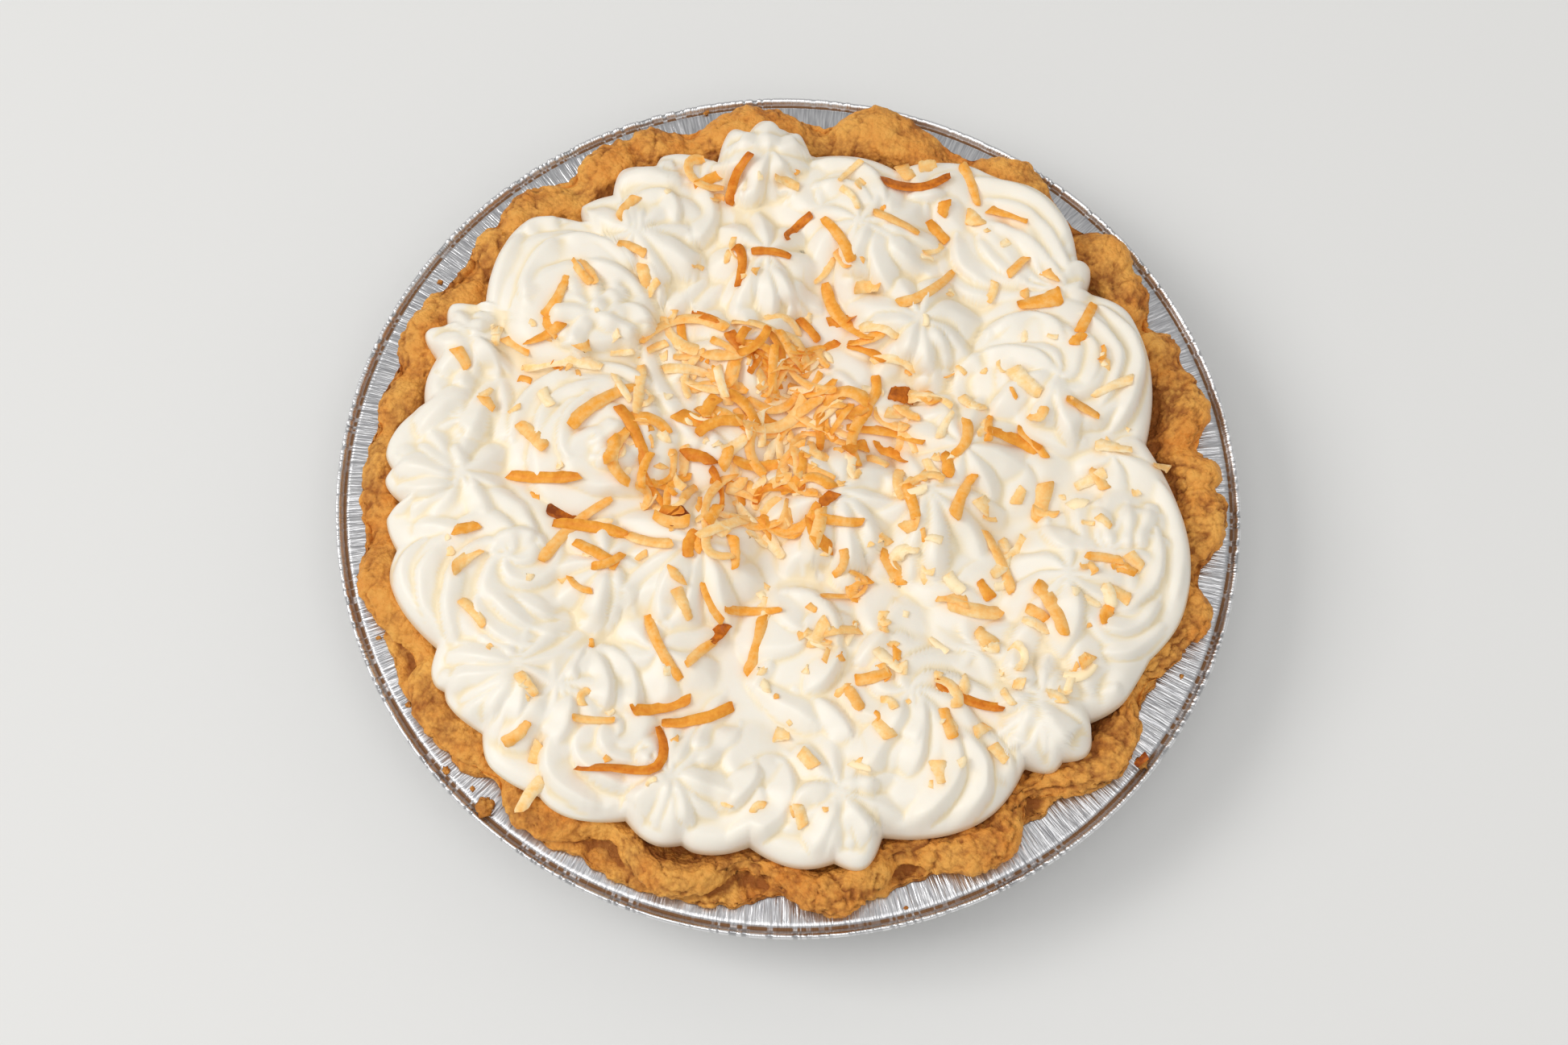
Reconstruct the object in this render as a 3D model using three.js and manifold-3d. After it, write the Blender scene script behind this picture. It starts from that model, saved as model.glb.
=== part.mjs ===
import * as THREE from 'three';
import { mergeVertices } from 'three/addons/utils/BufferGeometryUtils.js';
import Module from 'manifold-3d';

// A whole coconut cream pie in its own foil tin.
// Millimetres, +Z up, origin at the centre of the tin's flat underside.
// Three solids: the foil tin, the crust with the uncut pie body that fills the tin,
// and the piped whipped cream with the largest strips of toasted coconut fused to it.

const wasm = await Module();
wasm.setup();

// Foil tin: a nine inch pan with a rolled bead and a groove inside it.
const TIN_OUTER_RADIUS = 122.5;
const TIN_BASE_RADIUS = 94;
const TIN_WALL_TOP_RADIUS = 108.2;
const TIN_RIM_HEIGHT = 31;
const TIN_FLANGE_HEIGHT = 30.3;
const TIN_GROOVE_RADIUS = 119.9;
const TIN_GROOVE_DEPTH = 0.7;
const TIN_THICKNESS = 0.9;
const TIN_SEGMENTS = 60;
const TIN_PLEAT_DEPTH = 1.0;

// Crust: eighteen hand-pinched flutes standing on the flange.
// Each flute has the direction of its tip in degrees, its outer radius and its height.
const FLUTES = [
  [3, 117.6, 38.6], [20, 117.2, 38.2], [40, 118.4, 39.0], [60, 118.2, 38.4], [80, 118.6, 39.2],
  [99, 116.6, 38.8], [115, 116.8, 38.2], [138, 115.8, 38.0], [162, 115.4, 38.4], [181, 115.6, 37.6],
  [200, 117.4, 38.8], [219, 117.8, 38.6], [237, 117.6, 38.2], [260, 118.0, 39.2], [280, 118.2, 39.4],
  [300, 117.8, 38.8], [321, 117.6, 39.0], [345, 117.4, 38.6],
];
const NOTCH_RADIUS = 110.2;
const NOTCH_HEIGHT = 36.4;
const CRUST_INNER_TIP = 105.5;
const CRUST_INNER_NOTCH = 100;
const CRUST_GAP = 0.45;
const CRUST_CRAG = 0.55;
const SKIRT_RADIUS = 112.6;
const SKIRT_RAGGED = 1.6;
const SAMPLES_PER_FLUTE = 6;
const BODY_LEVEL = 30.6;

// Whipped cream.
const CREAM_FLOOR = 31;
const CREAM_BED_RADIUS = 104.5;
const CREAM_BED_HEIGHT = 40.5;
const ROPE_PITCH = 6.5;
const CREAM_GAP = 0.35;

// Coconut strips.
const STRIP_THICKNESS = 1.5;

// Seeded draws, so that every run gives the same pie.
let seed = 20417;
function draw() {
  seed = (seed * 1664525 + 1013904223) % 4294967296;
  return seed / 4294967296;
}
const rad = THREE.MathUtils.degToRad;

// A closed body from rings of points, listed from the underside outwards, upwards and
// back over the top. A ring may have twice as many points as the one below it.
function ringBody(rings, bottom, top) {
  const points = [bottom];
  const starts = rings.map((ring) => points.push(...ring) - ring.length);
  const topIndex = points.push(top) - 1;
  const faces = [];
  const first = rings[0].length;
  for (let i = 0; i < first; i++) {
    faces.push([0, starts[0] + (i + 1) % first, starts[0] + i]);
  }
  for (let k = 0; k + 1 < rings.length; k++) {
    const low = rings[k].length;
    const high = rings[k + 1].length;
    for (let i = 0; i < low; i++) {
      const a = starts[k] + i;
      const b = starts[k] + (i + 1) % low;
      if (high === low) {
        const c = starts[k + 1] + (i + 1) % high;
        const d = starts[k + 1] + i;
        faces.push([a, b, c], [a, c, d]);
      } else {
        const d = starts[k + 1] + 2 * i;
        const m = starts[k + 1] + 2 * i + 1;
        const c = starts[k + 1] + (2 * i + 2) % high;
        faces.push([a, m, d], [a, b, m], [b, c, m]);
      }
    }
  }
  const last = rings.length - 1;
  const count = rings[last].length;
  for (let i = 0; i < count; i++) {
    faces.push([topIndex, starts[last] + i, starts[last] + (i + 1) % count]);
  }
  const geometry = new THREE.BufferGeometry();
  geometry.setAttribute('position', new THREE.Float32BufferAttribute(points.flat(), 3));
  geometry.setIndex(faces.flat());
  return geometry;
}

const polar = (angle, radius, height) => [radius * Math.cos(angle), radius * Math.sin(angle), height];

function toSolid(geometry) {
  geometry.deleteAttribute('normal');
  geometry.deleteAttribute('uv');
  const merged = mergeVertices(geometry, 1e-4);
  return new wasm.Manifold(new wasm.Mesh({
    numProp: 3,
    vertProperties: new Float32Array(merged.attributes.position.array),
    triVerts: new Uint32Array(merged.index.array),
  }));
}

function toGeometry(solid) {
  const mesh = solid.getMesh();
  const geometry = new THREE.BufferGeometry();
  geometry.setAttribute('position', new THREE.BufferAttribute(new Float32Array(mesh.vertProperties), 3));
  geometry.setIndex(new THREE.BufferAttribute(new Uint32Array(mesh.triVerts), 1));
  return geometry;
}

// The tin: one thin wall that goes out along the underside and back along the inside.
// Every second point of the tapered wall stands out, which gives the pressed pleats.
function tinGeometry() {
  const t = TIN_THICKNESS;
  const flange = TIN_FLANGE_HEIGHT;
  const groove = flange - TIN_GROOVE_DEPTH;
  const profile = [
    [TIN_BASE_RADIUS - 0.6, 0, 0],
    [TIN_BASE_RADIUS + 1.4, 1.6, 0.5],
    [TIN_WALL_TOP_RADIUS, flange - 2, 1],
    [TIN_WALL_TOP_RADIUS + 1.6, flange - t, 0],
    [TIN_GROOVE_RADIUS - 1.3, flange - t, 0],
    [TIN_GROOVE_RADIUS, groove - t, 0],
    [TIN_OUTER_RADIUS - 1.2, groove - 0.6, 0],
    [TIN_OUTER_RADIUS, TIN_RIM_HEIGHT - 1, 0],
    [TIN_OUTER_RADIUS - 0.7, TIN_RIM_HEIGHT, 0],
    [TIN_OUTER_RADIUS - 1.7, TIN_RIM_HEIGHT - 0.4, 0],
    [TIN_GROOVE_RADIUS, groove, 0],
    [TIN_GROOVE_RADIUS - 1.3, flange, 0],
    [TIN_WALL_TOP_RADIUS + 1.2, flange, 0],
    [TIN_WALL_TOP_RADIUS - 0.9, flange - 1.5, 1],
    [TIN_BASE_RADIUS + 0.6, 2.2, 0.5],
    [TIN_BASE_RADIUS - 1, t, 0],
  ];
  const rings = profile.map(([radius, height, pleat]) => {
    const ring = [];
    for (let i = 0; i < TIN_SEGMENTS; i++) {
      const out = (i % 2) * pleat * TIN_PLEAT_DEPTH;
      ring.push(polar((i / TIN_SEGMENTS) * Math.PI * 2, radius + out, height));
    }
    return ring;
  });
  return ringBody(rings, [0, 0, 0], [0, 0, t]);
}

// Directions around the crust: notch, flank, tip, flank, for each flute in turn.
function crustStations() {
  const stations = [];
  const n = FLUTES.length;
  for (let k = 0; k < n; k++) {
    const [tip, reach, height] = FLUTES[k];
    const before = FLUTES[(k + n - 1) % n][0] - (k === 0 ? 360 : 0);
    const after = FLUTES[(k + 1) % n][0] + (k === n - 1 ? 360 : 0);
    for (let j = 0; j < SAMPLES_PER_FLUTE; j++) {
      const u = (2 * j) / SAMPLES_PER_FLUTE - 1;
      const half = u < 0 ? (tip - before) / 2 : (after - tip) / 2;
      const lift = Math.pow(0.5 + 0.5 * Math.cos(Math.PI * u), 0.7);
      stations.push({
        angle: rad(tip + u * half),
        outer: THREE.MathUtils.lerp(NOTCH_RADIUS, reach, lift),
        inner: THREE.MathUtils.lerp(CRUST_INNER_NOTCH, CRUST_INNER_TIP, lift),
        crest: THREE.MathUtils.lerp(NOTCH_HEIGHT, height, lift),
        skirt: SKIRT_RADIUS + SKIRT_RAGGED * draw(),
        crag: Array.from({ length: 6 }, () => (draw() - 0.5) * 2 * CRUST_CRAG),
      });
    }
  }
  return stations;
}
const stations = crustStations();

// The crust and the pie body: up the inside of the tin, out over the flange, over the
// fluted crest and down to the level on which the cream lies.
// grow pushes the upper surface out, for the clearance cut into the cream.
function crustGeometry(grow) {
  const even = stations.filter((station, i) => i % 2 === 0);
  const wall = TIN_WALL_TOP_RADIUS - 0.9 - CRUST_GAP;
  const foot = TIN_FLANGE_HEIGHT + CRUST_GAP;
  const ring = (list, shape) => list.map((s) => polar(s.angle, ...shape(s)));
  const rings = [
    ring(even, () => [TIN_BASE_RADIUS - 1.6, TIN_THICKNESS + CRUST_GAP]),
    ring(even, () => [TIN_BASE_RADIUS, 2.8]),
    ring(even, () => [wall, TIN_FLANGE_HEIGHT - 1.6]),
    ring(stations, () => [wall + 1, foot]),
    ring(stations, (s) => [s.skirt + grow, foot]),
    ring(stations, (s) => [s.skirt + 0.3 + grow, foot + 1.4 + grow]),
    ring(stations, (s) => [s.outer - 1.4 + s.crag[0] + grow, foot + 1.9 + grow]),
    ring(stations, (s) => [s.outer + s.crag[1] + grow, (foot + s.crest) / 2 + 1 + s.crag[2] + grow]),
    ring(stations, (s) => [s.outer - 2.6 + s.crag[3] + grow, s.crest - 0.7 + grow]),
    ring(stations, (s) => [(s.outer + s.inner) / 2 + s.crag[4], s.crest + s.crag[5] + grow]),
    ring(stations, (s) => [s.inner + 1.6 - grow, s.crest - 1.8 + grow]),
    ring(stations, (s) => [s.inner - 1.6 - grow, BODY_LEVEL + 0.6 + grow]),
  ];
  return ringBody(rings, [0, 0, TIN_THICKNESS + CRUST_GAP], [0, 0, BODY_LEVEL + grow]);
}

// A piped star: petals are ridges that run from the lobed foot up to the peak.
// Each ridge and each crease between two petals is one line of points.
// x, y, radius, height of the peak, petals, turn and twist in degrees, stretch and heading.
const STARS = [
  [-12, 95, 14, 50, 8, 8, 0, 1, 0],
  [-44, 68, 18, 50, 8, 0, 10, 1.1, 160],
  [-88, 34, 12, 47, 7, 10, 0, 1.15, 120],
  [-89, -7, 17, 49, 8, 5, 0, 1.1, 170],
  [-66, -59, 20, 50, 9, 15, 0, 1.1, 35],
  [-24, -88, 16, 47, 8, 12, 10, 1.15, 25],
  [17, -88, 18, 48, 9, 0, 0, 1.1, 100],
  [68, -60, 17, 48, 8, 20, 0, 1, 0],
  [14, 74, 21, 51, 8, 0, 40, 1, 0],
  [33, 46, 21, 53, 8, 10, 25, 1, 0],
  [-11, 61, 19, 52, 8, 0, 10, 1, 0],
  [13, -9, 24, 55, 9, 0, 10, 1, 0],
  [46, 8, 17, 53, 8, 10, 15, 1, 0],
  [37, -5, 22, 51, 8, 0, 10, 1.15, 90],
  [-24, -23, 22, 53, 8, 0, 15, 1.1, 60],
  [-48, -31, 16, 50, 8, 10, 0, 1, 0],
  [76, -25, 19, 49, 8, 0, 40, 1, 0],
  [58, 71, 21, 49, 9, 5, 20, 1.2, 140],
];
const STAR_PROFILE = [[0.97, 0], [1, 0.45], [0.72, 0.76], [0.34, 0.94]];
const PETAL_DEPTH = 0.19;

function starSolid([x, y, radius, peak, petals, turn, twist, stretch, heading]) {
  const rise = peak - CREAM_FLOOR;
  const h = rad(heading);
  const rings = STAR_PROFILE.map(([wide, high], k) => {
    const ring = [];
    for (let i = 0; i < 2 * petals; i++) {
      const crease = i % 2;
      const angle = (i / petals) * Math.PI + rad(turn + twist * (1 - wide));
      const reach = radius * wide * (1 - crease * PETAL_DEPTH * (k === 0 ? 0.5 : 1));
      const along = reach * Math.cos(angle - h) * stretch;
      const across = (reach * Math.sin(angle - h)) / stretch;
      ring.push([
        x + along * Math.cos(h) - across * Math.sin(h),
        y + along * Math.sin(h) + across * Math.cos(h),
        CREAM_FLOOR + rise * high - (k > 0 ? crease * 1.4 : 0),
      ]);
    }
    return ring;
  });
  return toSolid(ringBody(rings, [x, y, CREAM_FLOOR], [x, y, peak]));
}

// A piped rosette: one rope laid in a spiral that climbs inwards to the middle.
// The rope has a line of points along its crest and one along the crease outside it, and
// the crease of each turn closes the inner flank of the turn before.
// x, y, radius, height of the top, turns, heading of the rope's blunt start in degrees,
// how far the turns crowd towards the far side, hand (1 winds anticlockwise).
const ROSETTES = [
  [-39, 76, 17, 47, 2, 20, 3, 1],
  [-58, 43, 24, 51, 3, 300, 5, 1],
  [-90, 9, 16, 46, 2, 30, 2, 1],
  [-49, 3, 23, 52, 3, 320, 4, 1],
  [-70, -31, 28, 50, 4, 30, 6, -1],
  [-53, -64, 19, 49, 3, 180, 3, 1],
  [-42, -79, 18, 47, 2, 60, 3, -1],
  [-5, -88, 17, 46, 2, 90, 3, 1],
  [36, -64, 27, 50, 4, 130, 6, 1],
  [80, -48, 15, 45, 1, 140, 0, 1],
  [85, -13, 19, 47, 3, 180, 4, 1],
  [68, 32, 26, 51, 4, 190, 5, 1],
  [7, 80, 17, 46, 2, 270, 3, 1],
  [5, -45, 15, 49, 2, 120, 2, 1],
  [64, 8, 15, 45, 2, 200, 2, 1],
  [14, 22, 15, 48, 2, 0, 2, -1],
  [46, -30, 15, 46, 2, 60, 2, 1],
];
const TURN_SEGMENTS = 12;
const ROPE_CLIMB = 2.6;
const ROPE_DEPTH = 3;

function rosetteSolid([x, y, radius, top, turns, start, crowd, hand]) {
  const n = TURN_SEGMENTS;
  const m = n * turns;
  const far = rad(start + 180);
  const place = (j, inset, height) => {
    const angle = rad(start) + (hand * j * 2 * Math.PI) / n;
    const reach = Math.max(radius - (ROPE_PITCH * j) / n - inset, 2.2 - inset * 0.4);
    const shift = (crowd * j) / m;
    return [
      x + shift * Math.cos(far) + reach * Math.cos(angle),
      y + shift * Math.sin(far) + reach * Math.sin(angle),
      height,
    ];
  };
  const climb = (j) => top - 1.4 - ROPE_CLIMB * (turns - 0.6) + (ROPE_CLIMB * j) / n;
  const points = [[x, y, CREAM_FLOOR]];
  const add = (point) => points.push(point) - 1;
  const foot = [...Array(n).keys()].map((j) => add(place(j, 0, CREAM_FLOOR)));
  const crease = [...Array(m + 1).keys()].map((j) => add(place(j, 0.2, climb(j) - ROPE_DEPTH)));
  const crest = [...Array(m + 1).keys()].map((j) => add(place(j, 2.8, climb(j))));
  const peak = add([x + crowd * Math.cos(far), y + crowd * Math.sin(far), top]);
  const faces = [];
  const quad = (a, b, c, d) => faces.push([a, b, c], [a, c, d]);
  for (let j = 0; j < n; j++) {
    faces.push([0, foot[(j + 1) % n], foot[j]]);
    quad(foot[j], foot[(j + 1) % n], crease[j + 1], crease[j]);
    faces.push([crest[m - n + j], crest[m - n + j + 1], peak]);
  }
  for (let j = 0; j < m; j++) {
    quad(crease[j], crease[j + 1], crest[j + 1], crest[j]);
  }
  for (let j = 0; j < m - n; j++) {
    quad(crest[j], crest[j + 1], crease[j + 1 + n], crease[j + n]);
  }
  faces.push([foot[0], crease[0], crease[n]], [crease[0], crest[0], crease[n]]);
  faces.push([crest[m - n], peak, crease[m]], [crease[m], peak, crest[m]]);
  const wound = faces.map(([a, b, c]) => (hand > 0 ? [a, b, c] : [a, c, b]));
  const geometry = new THREE.BufferGeometry();
  geometry.setAttribute('position', new THREE.Float32BufferAttribute(points.flat(), 3));
  geometry.setIndex(wound.flat());
  return toSolid(geometry);
}

// The bed of cream under and between the piped pieces.
function bedSolid() {
  const ring = (radius, height) => {
    const points = [];
    for (let i = 0; i < 36; i++) {
      const angle = (i / 36) * Math.PI * 2;
      points.push(polar(angle, radius + 1.2 * Math.sin(7 * angle) + 0.8 * Math.sin(11 * angle), height));
    }
    return points;
  };
  const rings = [
    ring(CREAM_BED_RADIUS, CREAM_FLOOR),
    ring(CREAM_BED_RADIUS - 0.5, CREAM_BED_HEIGHT - 3.5),
    ring(CREAM_BED_RADIUS - 18, CREAM_BED_HEIGHT),
  ];
  return toSolid(ringBody(rings, [0, 0, CREAM_FLOOR], [0, 0, CREAM_BED_HEIGHT + 3]));
}

// Height of the cream at a place: the highest triangle over it.
function heightField(solid) {
  const { vertProperties: v, triVerts: t } = solid.getMesh();
  return (x, y) => {
    let best = CREAM_BED_HEIGHT;
    for (let k = 0; k < t.length; k += 3) {
      const [a, b, c] = [3 * t[k], 3 * t[k + 1], 3 * t[k + 2]];
      const d = (v[b] - v[a]) * (v[c + 1] - v[a + 1]) - (v[c] - v[a]) * (v[b + 1] - v[a + 1]);
      if (Math.abs(d) < 1e-9) continue;
      const p = ((x - v[a]) * (v[c + 1] - v[a + 1]) - (v[c] - v[a]) * (y - v[a + 1])) / d;
      const q = ((v[b] - v[a]) * (y - v[a + 1]) - (x - v[a]) * (v[b + 1] - v[a + 1])) / d;
      if (p < 0 || q < 0 || p + q > 1) continue;
      best = Math.max(best, v[a + 2] + p * (v[b + 2] - v[a + 2]) + q * (v[c + 2] - v[a + 2]));
    }
    return best;
  };
}

// The largest toasted strips: start, end, sideways bow of the middle, width.
const STRIPS = [
  [20, 88, 38, 91, -2.5, 3.2], [-18, 93, -23, 77, 1, 2.8], [50, 81, 61, 78, 0, 2.8],
  [4, 75, 13, 62, -1, 3], [-18, 65, -17, 52, 1, 2.8], [14, 54, 22, 55, 0, 3.6],
  [59, 52, 71, 56, 1, 3.4], [6, 54, 17, 40, -3, 3.2],
  [52, 14, 66, 9, 1, 3], [14, 12, 35, 9, 1, 3.2],
  [-43, 32, -22, 39, 3, 3], [-19, 41, -3, 35, 3, 3],
  [-60, 7, -43, 20, 0, 2.8], [-48, 14, -40, -2, 1, 3.2], [-29, 20, -13, 21, 0, 3.6],
  [-75, -8, -56, -7, 0, 3.4], [-64, -17, -54, -21, 1, 3.6], [-64, -32, -47, -13, 1, 2.8],
  [-37, -71, -22, -67, 1, 3.2], [-28, -78, -30, -89, 2, 3.2],
  [-35, -45, -25, -62, 0, 2.8], [-5, -43, -8, -60, 0, 3], [25, -23, 31, -32, 0, 3.2],
  [44, -12, 49, 1, 0, 3], [66, -29, 74, -43, 1, 3.2], [43, -36, 58, -38, 0, 3.4],
  [41, -58, 59, -64, 0, 3], [20, -59, 29, -56, 0, 3.4], [-10, 36, 2, 26, 1, 3.2],
  [-20, -6, -12, -14, 0, 3.4], [-12, -20, -8, -30, 0, 3], [0, 28, 12, 20, -1, 3.2],
];

function stripSolid([x0, y0, x1, y1, bow, width], heightAt) {
  const length = Math.hypot(x1 - x0, y1 - y0);
  const [tx, ty] = [(x1 - x0) / length, (y1 - y0) / length];
  const steps = length > 14 ? 3 : 2;
  const centres = [];
  for (let k = 0; k <= steps; k++) {
    const t = k / steps;
    const side = bow * 4 * t * (1 - t);
    const x = x0 + (x1 - x0) * t - ty * side;
    const y = y0 + (y1 - y0) * t + tx * side;
    centres.push([x, y, heightAt(x, y)]);
  }
  const mean = centres.reduce((sum, c) => sum + c[2], 0) / centres.length;
  const rings = centres.map(([x, y, z], k) => {
    const taper = k === 0 || k === steps ? 0.8 : 1;
    const [sx, sy] = [(-ty * width * taper) / 2, (tx * width * taper) / 2];
    const over = Math.max(z, 0.5 * (z + mean)) + STRIP_THICKNESS * 0.7;
    const under = z - STRIP_THICKNESS;
    return [[x + sx, y + sy, under], [x + sx, y + sy, over], [x - sx, y - sy, over], [x - sx, y - sy, under]];
  });
  const a = rings[0];
  const b = rings[steps];
  const middle = (ring) => [0, 1, 2].map((axis) => (ring[0][axis] + ring[2][axis]) / 2);
  return toSolid(ringBody(rings, middle(a), middle(b)));
}

function creamGeometry() {
  const piped = wasm.Manifold.union([
    bedSolid(),
    ...STARS.map(starSolid),
    ...ROSETTES.map(rosetteSolid),
  ]);
  const heightAt = heightField(piped);
  const strips = STRIPS.map((strip) => stripSolid(strip, heightAt));
  const topped = wasm.Manifold.union([piped, ...strips]);
  const cut = topped.subtract(toSolid(crustGeometry(CREAM_GAP)));
  const bodies = cut.decompose().sort((a, b) => b.volume() - a.volume());
  return toGeometry(bodies[0]);
}

const foil = new THREE.MeshStandardMaterial({ color: 0xc9ccce, roughness: 0.3, metalness: 1 });
const pastry = new THREE.MeshStandardMaterial({ color: 0xc68a45, roughness: 0.75, metalness: 0 });
const cream = new THREE.MeshStandardMaterial({ color: 0xf7f3e8, roughness: 0.5, metalness: 0 });

const pie = new THREE.Group();
const addPiece = (name, geometry, material) => {
  const mesh = new THREE.Mesh(geometry, material);
  mesh.name = name;
  pie.add(mesh);
};
addPiece('foil_tin', tinGeometry(), foil);
addPiece('pie_crust', crustGeometry(0), pastry);
addPiece('whipped_cream', creamGeometry(), cream);

export default pie;
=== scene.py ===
# %% [markdown]
# A coconut cream pie, dressed for its portrait
#
# The pie stands in its own foil tin: a fluted golden crust, a bed of whipped cream piped in
# stars and rosettes, and strips of toasted coconut scattered over it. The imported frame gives
# the sizes. Here every visible surface is worked out as a grid of points with numpy.
# Lengths are in millimetres until a mesh is made, where they are multiplied by MM.

import math

import bpy
import numpy as np
from mathutils import Matrix, Vector


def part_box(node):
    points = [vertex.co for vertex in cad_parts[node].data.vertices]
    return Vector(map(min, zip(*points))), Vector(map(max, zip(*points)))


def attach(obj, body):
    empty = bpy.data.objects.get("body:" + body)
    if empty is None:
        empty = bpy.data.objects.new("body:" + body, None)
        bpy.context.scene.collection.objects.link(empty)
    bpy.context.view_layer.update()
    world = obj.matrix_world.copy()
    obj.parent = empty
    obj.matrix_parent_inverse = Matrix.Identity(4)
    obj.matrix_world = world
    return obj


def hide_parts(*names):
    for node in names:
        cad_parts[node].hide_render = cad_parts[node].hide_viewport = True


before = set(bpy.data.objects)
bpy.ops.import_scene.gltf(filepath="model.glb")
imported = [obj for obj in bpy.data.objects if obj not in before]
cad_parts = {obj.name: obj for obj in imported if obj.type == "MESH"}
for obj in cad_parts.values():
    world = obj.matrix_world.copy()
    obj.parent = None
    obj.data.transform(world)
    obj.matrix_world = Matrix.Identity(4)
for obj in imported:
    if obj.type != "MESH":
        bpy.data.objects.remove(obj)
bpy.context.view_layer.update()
MM = 0.001

tin_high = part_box("foil_tin")[1]
cream_low, cream_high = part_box("whipped_cream")
RIM_RADIUS = tin_high.x / MM
RIM_HEIGHT = tin_high.z / MM
CREAM_FLOOR = cream_low.z / MM
CREAM_TOP = cream_high.z / MM
print("rim", round(RIM_RADIUS, 1), "x", round(RIM_HEIGHT, 1), "mm, cream up to", round(CREAM_TOP, 1), "mm")

# %% [markdown]
# The camera
#
# The picture was taken from above and a little in front. The rim of the tin is a circle, and
# the ellipse that it makes in a picture fixes the height, the tilt and the distance of the
# camera once the lens is known. It comes first, because every later choice is judged through it.

# %% Camera
LENS_MM = 60.0
SENSOR_MM = 36
ELEVATION = math.radians(68.44)
ROLL = math.radians(3.79)
DISTANCE = 703.8
TARGET = Vector((-1.04, -9.21, RIM_HEIGHT))

back = Vector((0, -math.cos(ELEVATION), math.sin(ELEVATION)))
right = Vector((1, 0, 0))
up = right.cross(-back)
side = math.cos(ROLL) * right + math.sin(ROLL) * up
top = -math.sin(ROLL) * right + math.cos(ROLL) * up
eye = TARGET + DISTANCE * back

camera_data = bpy.data.cameras.new("camera")
camera_data.lens = LENS_MM
camera_data.sensor_width = SENSOR_MM
camera_data.clip_start = 10 * MM
camera = bpy.data.objects.new("camera", camera_data)
bpy.context.collection.objects.link(camera)
turn = Matrix((side, top, back)).transposed()
camera.matrix_world = Matrix.Translation(eye * MM) @ turn.to_4x4()
bpy.context.scene.camera = camera
print("camera at", [round(v) for v in eye], "mm")

# %% [markdown]
# Reading a height from above
#
# Places on the pie were read on a level sheet 42 mm above the table. A point above or below
# that sheet shows shifted along the line of sight, so `under_sight` slides it back. Placing each
# thing by eye in the viewport would work too, but this way the camera itself says where it goes.

# %% Places read on the sheet
SHEET = 42.0


def under_sight(x, y, height):
    """The point at the given height on the line from the eye through (x, y, SHEET)."""
    share = (eye.z - height) / (eye.z - SHEET)
    return eye.x + (x - eye.x) * share, eye.y + (y - eye.y) * share


print("a peak 10 mm above the sheet shifts by", round(-under_sight(0, 0, SHEET + 10)[1], 2), "mm")

# %% [markdown]
# Floor and light
#
# A pale seamless table under a large window light on the left, which throws the soft shadow
# on the right of the tin, a broad ceiling panel in front, and weak light all round. Large
# lights make the soft shading that cream needs: small ones would turn each petal into a stripe.

# %% Floor
FLOOR_HALF = 2.2
FLOOR_GREY = (0.80, 0.80, 0.79, 1)


def paint_floor():
    """A pale grey matt sheet."""
    material = bpy.data.materials.new("pale_table")
    material.use_nodes = True
    shader = material.node_tree.nodes["Principled BSDF"]
    shader.inputs["Base Color"].default_value = FLOOR_GREY
    shader.inputs["Roughness"].default_value = 0.7
    return material


floor_mesh = bpy.data.meshes.new("floor")
floor_corners = [(FLOOR_HALF * x, FLOOR_HALF * y, 0) for x, y in ((-1, -1), (1, -1), (1, 1), (-1, 1))]
floor_mesh.from_pydata(floor_corners, [], [(0, 1, 2, 3)])
floor = bpy.data.objects.new("floor", floor_mesh)
floor.data.materials.append(paint_floor())
bpy.context.collection.objects.link(floor)
print("floor", 2 * FLOOR_HALF, "m wide")

# %% Lights
PIE_MIDDLE = Vector((0, 0, 0.04))
WINDOW_WHITE = (1.0, 0.988, 0.972)
ROOM_WHITE = (1.0, 0.995, 0.985)
ROOM_STRENGTH = 0.497


def soft_light(name, place, size, watts, colour):
    """A square area light at a place in metres, aimed at the pie."""
    data = bpy.data.lights.new(name, "AREA")
    data.shape = "SQUARE"
    data.size = size
    data.energy = watts
    data.color = colour
    lamp = bpy.data.objects.new(name, data)
    lamp.location = place
    aim = PIE_MIDDLE - lamp.location
    lamp.rotation_mode = "QUATERNION"
    lamp.rotation_quaternion = aim.to_track_quat("-Z", "Y")
    bpy.context.collection.objects.link(lamp)


soft_light("window", place=(-2.1, -0.16, 2.1), size=1.4, watts=33.0, colour=WINDOW_WHITE)
soft_light("ceiling_panel", place=(0.1, -0.7, 2.3), size=1.9, watts=15.5, colour=ROOM_WHITE)

world = bpy.data.worlds.new("room")
world.use_nodes = True
air = world.node_tree.nodes["Background"]
air.inputs["Color"].default_value = (*ROOM_WHITE, 1)
air.inputs["Strength"].default_value = ROOM_STRENGTH
bpy.context.scene.world = world
bpy.context.scene.view_settings.view_transform = "Standard"

# %% [markdown]
# Shader maths as plain expressions
#
# A `Wire` stands for one output socket. Adding or multiplying wires and numbers adds the Math
# nodes, so that a mask reads like a formula. `Paint` owns a material: `node` adds any other
# node, with its settings first and then its sockets, and `blend` mixes colours. The same nodes
# could be placed by hand in the shader editor, but a formula is shorter to read and to change.

# %% Wire


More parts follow.
